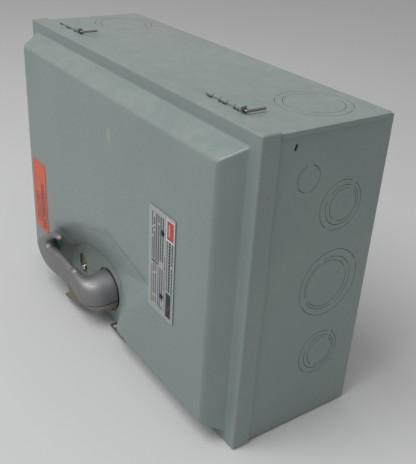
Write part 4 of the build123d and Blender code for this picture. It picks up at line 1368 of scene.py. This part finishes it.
@dataclass
class Fasteners:
    """Rivets and screws, each kind one piece."""

    return_y: float = FLANGE_Y + 9.5 * MM
    return_z: Point = (13 * MM, 240 * MM)

    def return_rivets(self, palette: Palette) -> None:
        """Set two small rivets in the cover's return at the line end."""
        heads = []
        for z in self.return_z:
            dome = [(0.0, -1.2), (1.1, -1.2), (1.1, 0.0), (1.6, 0.0), (1.5, 0.3), (1.0, 0.6), (0.0, 0.7)]
            head = lathe("return_rivet", [(r * MM, t * MM) for r, t in dome], 24, "X")
            head.data.transform(Matrix.Translation((LENGTH / 2 - 0.3 * MM, self.return_y, z)))
            heads.append(head)
        piece = smooth_by_angle(merged(heads, "return_rivets"), 32)
        palette.finish_piece(piece, Slot.STEEL, "cover")

    def build(self, palette: Palette, heads: FastenerTree) -> None:
        """Set the plate's and the return's rivets, the base screws and the grounding screws."""
        black, steel = palette.materials[Slot.BLACK], palette.materials[Slot.STEEL]
        rivets = heads.scatter("plate_rivet_heads", ScrewHeads.rivet(2.6 * MM, 1.3 * MM),
                               [(113.3 * MM, FACE_Y - 0.45 * MM, (146 + s * 31) * MM) for s in (1, -1)],
                               black)
        palette.finish_piece(rivets, Slot.BLACK, "cover", "plate_rivets")
        self.return_rivets(palette)
        base = BACK_Y - 26 * MM
        corners = [(x * MM, base, z * MM) for x in (-160, 150) for z in (87, 249)]
        screw = ScrewHeads.slotted(5 * MM, 3 * MM, 1.2 * MM, 2.45 * MM, 20 * MM)
        screws = heads.scatter("base_screw_heads", screw, corners, steel, math.pi, 5)
        palette.finish_piece(screws, Slot.STEEL, "enclosure", "base_screws")
        places = [((-140 + k * 14) * MM, BACK_Y - 13.5 * MM, 40 * MM) for k in (-1.5, -0.5, 0.5, 1.5)]
        screw = ScrewHeads.slotted(4 * MM, 3 * MM, 1.0 * MM, 2.3 * MM, 6 * MM)
        ground = heads.scatter("ground_screw_heads", screw, places, steel, math.pi, 8)
        palette.finish_piece(ground, Slot.STEEL, "enclosure", "ground_screws")


@dataclass
class ThinSheets:
    """The rating plate and the sticker, thin sheets that lie on the cover's face."""

    def _sheet(self, name: str, centre: Point, size: Point, radius: float, thick: float,
               lift: float, curl: float) -> bpy.types.Object:
        """Build one sheet with round corners whose rim lifts a little.

        Args:
            name: the object's name.
            centre: middle as (x, z).
            size: width and height.
            radius: corner radius.
            thick: thickness.
            lift: gap over the face.
            curl: how far the corners lift.

        Returns:
            The sheet.
        """
        loop = rounded_loop(centre, *size, radius)
        xs = np.linspace(-0.5, 0.5, 14)[1:-1] * size[0] + centre[0]
        zs = np.linspace(-0.5, 0.5, 30)[1:-1] * size[1] + centre[1]
        grid = grid_of(xs, zs)
        flat, tris = triangulate(grid[inside(grid, loop) & (edge_distance(grid, loop) > MM)], [loop])
        u = (flat[:, 0] - centre[0]) / size[0] * 2
        v = (flat[:, 1] - centre[1]) / size[1] * 2
        rise = curl * np.abs(u) ** 3 * np.abs(v) ** 5 + 0.05 * MM * np.sin(4 * v + 1.0) ** 2
        points = np.column_stack([flat[:, 0], FACE_Y - sheet_wave(flat) - lift - thick - rise, flat[:, 1]])
        normals = np.tile([0.0, -1.0, 0.0], (len(flat), 1))
        return shell(name, points, normals, [tuple(t) for t in tris], thick)

    def build(self, palette: Palette) -> None:
        """Build the plate and the sticker and put them on the cover."""
        plate = self._sheet("foil_plate", PLATE_CENTRE, PLATE_SIZE, 1.4 * MM, 0.45 * MM, 0.02 * MM,
                            0.5 * MM)
        palette.finish_piece(plate, Slot.PLATE, "cover", "rating_plate")
        sticker = self._sheet("vinyl_sticker", STICKER_CENTRE, STICKER_SIZE, 5 * MM, 0.2 * MM, 0.03 * MM,
                              0.25 * MM)
        palette.finish_piece(sticker, Slot.STICKER, "cover", "warning_sticker")


# --- the frame's own nodes ------------------------------------------------------------------------
NODE_SLOTS: dict[str, Slot] = {
    "enclosure_shell": Slot.PAINT, "line_end_wall": Slot.PAINT, "load_end_wall": Slot.PAINT,
    "seam_lips": Slot.PAINT, "shaft_bushing": Slot.STEEL, "handle_shaft": Slot.STEEL,
    "shaft_clip": Slot.STEEL, "drive_dog": Slot.STEEL, "hasp_rivet": Slot.STEEL,
    "cover_catch": Slot.STEEL, "interlock_lever": Slot.YELLOW, "defeat_screw": Slot.BRIGHT,
    "interlock_stud": Slot.STEEL, "switch_base": Slot.PHENOLIC, "line_lugs": Slot.LUG,
    "load_lugs": Slot.LUG, "line_lug_screws": Slot.STEEL, "load_lug_screws": Slot.STEEL,
    "line_jaws": Slot.COPPER, "pivot_jaws": Slot.COPPER, "pivot_pins": Slot.STEEL,
    "switch_blades": Slot.COPPER, "crossbar": Slot.PHENOLIC, "crossbar_arm": Slot.STEEL,
    "mechanism_frame": Slot.YELLOW, "crossbar_stub": Slot.STEEL, "drive_yoke": Slot.STEEL,
    "yoke_spring": Slot.STEEL, "line_fuse_clips": Slot.TIN, "load_fuse_clips": Slot.TIN,
    "fuse_tubes": Slot.TUBE, "fuse_caps": Slot.TIN, "arc_chutes": Slot.FIBRE,
    "phase_barriers": Slot.FIBRE, "ground_bar": Slot.LUG,
}


# --- studio -----------------------------------------------------------------------------------------
@dataclass
class Studio:
    """The pale floor, the soft light and the camera."""

    camera_at: tuple[float, float, float] = (0.5412, -0.3343, 0.4471)
    camera_turn: tuple[float, float, float] = (61.999, -3.095, 55.658)
    lens: float = 53.645
    floor_colour: Colour = (0.60, 0.61, 0.62)
    sky: Colour = (1.0, 0.99, 0.965)
    sky_strength: float = 0.44
    key_power: float = 28.0
    key_at: tuple[float, float, float] = (0.02, -1.0, 1.85)
    key_aim: tuple[float, float, float] = (0.1, -0.2, 0.1)
    key_size: float = 1.3
    key_colour: Colour = (1.0, 0.995, 0.98)

    def _floor(self) -> None:
        """Lay a large pale floor with a faint tone drift."""
        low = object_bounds()[0].z
        size, steps = 6.0, 12
        line = np.linspace(-size, size, steps + 1)
        verts = [(x, y, low) for y in line for x in line]
        row = steps + 1
        faces = [(r * row + c, r * row + c + 1, (r + 1) * row + c + 1, (r + 1) * row + c)
                 for r in range(steps) for c in range(steps)]
        floor = object_from("studio_floor", verts, faces)
        material = bpy.data.materials.new("pale_floor")
        material.use_nodes = True
        g = Graph(material.node_tree)
        shader = material.node_tree.nodes["Principled BSDF"]
        drift = g.noise(g.coordinates(), 1.6, 2.0)
        tone = g.mix(g.ramp(drift, 0.3, 0.7, 0.0, 0.25), self.floor_colour,
                     tuple(c * 0.94 for c in self.floor_colour))
        g.put(shader.inputs["Base Color"], tone)
        g.put(shader.inputs["Roughness"], 0.85)
        floor.data.materials.append(material)
        floor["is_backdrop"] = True

    def _key(self) -> None:
        """Hang the soft square light that faces the cover."""
        lamp = bpy.data.lights.new("key", "AREA")
        lamp.shape, lamp.size = "SQUARE", self.key_size
        lamp.energy, lamp.color = self.key_power, self.key_colour
        obj = linked("key", lamp)
        obj.location = self.key_at
        aim = Vector(self.key_aim) - Vector(self.key_at)
        obj.rotation_euler = aim.to_track_quat("-Z", "Y").to_euler()

    def build(self) -> None:
        """Set up floor, world, lights and camera."""
        self._floor()
        world = bpy.data.worlds.new("soft_room")
        world.use_nodes = True
        background = world.node_tree.nodes["Background"]
        background.inputs["Color"].default_value = (*self.sky, 1.0)
        background.inputs["Strength"].default_value = self.sky_strength
        bpy.context.scene.world = world
        self._key()
        camera = bpy.data.cameras.new("camera")
        camera.lens, camera.sensor_width, camera.clip_start = self.lens, 36.0, 0.01
        obj = linked("camera", camera)
        obj.location = self.camera_at
        obj.rotation_euler = Euler([math.radians(a) for a in self.camera_turn], "XYZ")
        bpy.context.scene.camera = obj
        bpy.context.scene.view_settings.view_transform = "Standard"


def main() -> None:
    """Dress the frame's nodes, build the detailed pieces in order, and set up the studio."""
    logging.basicConfig(level=logging.INFO, format="%(name)s %(message)s")
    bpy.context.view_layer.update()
    palette = Palette()
    for node, slot in NODE_SLOTS.items():
        palette.dress(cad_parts[node], slot)
    heads = FastenerTree()
    palette.finish_piece(DrawnCover().build(), Slot.PAINT, "cover", "cover")
    palette.finish_piece(CastHandle().build(), Slot.CAST, "handle", "handle")
    palette.finish_piece(Hasp().build(), Slot.YELLOW, "hasp", "hasp_plate")
    WireHinges().build(palette, heads)
    Fasteners().build(palette, heads)
    ThinSheets().build(palette)
    Studio().build()


if __name__ == "__main__":
    main()
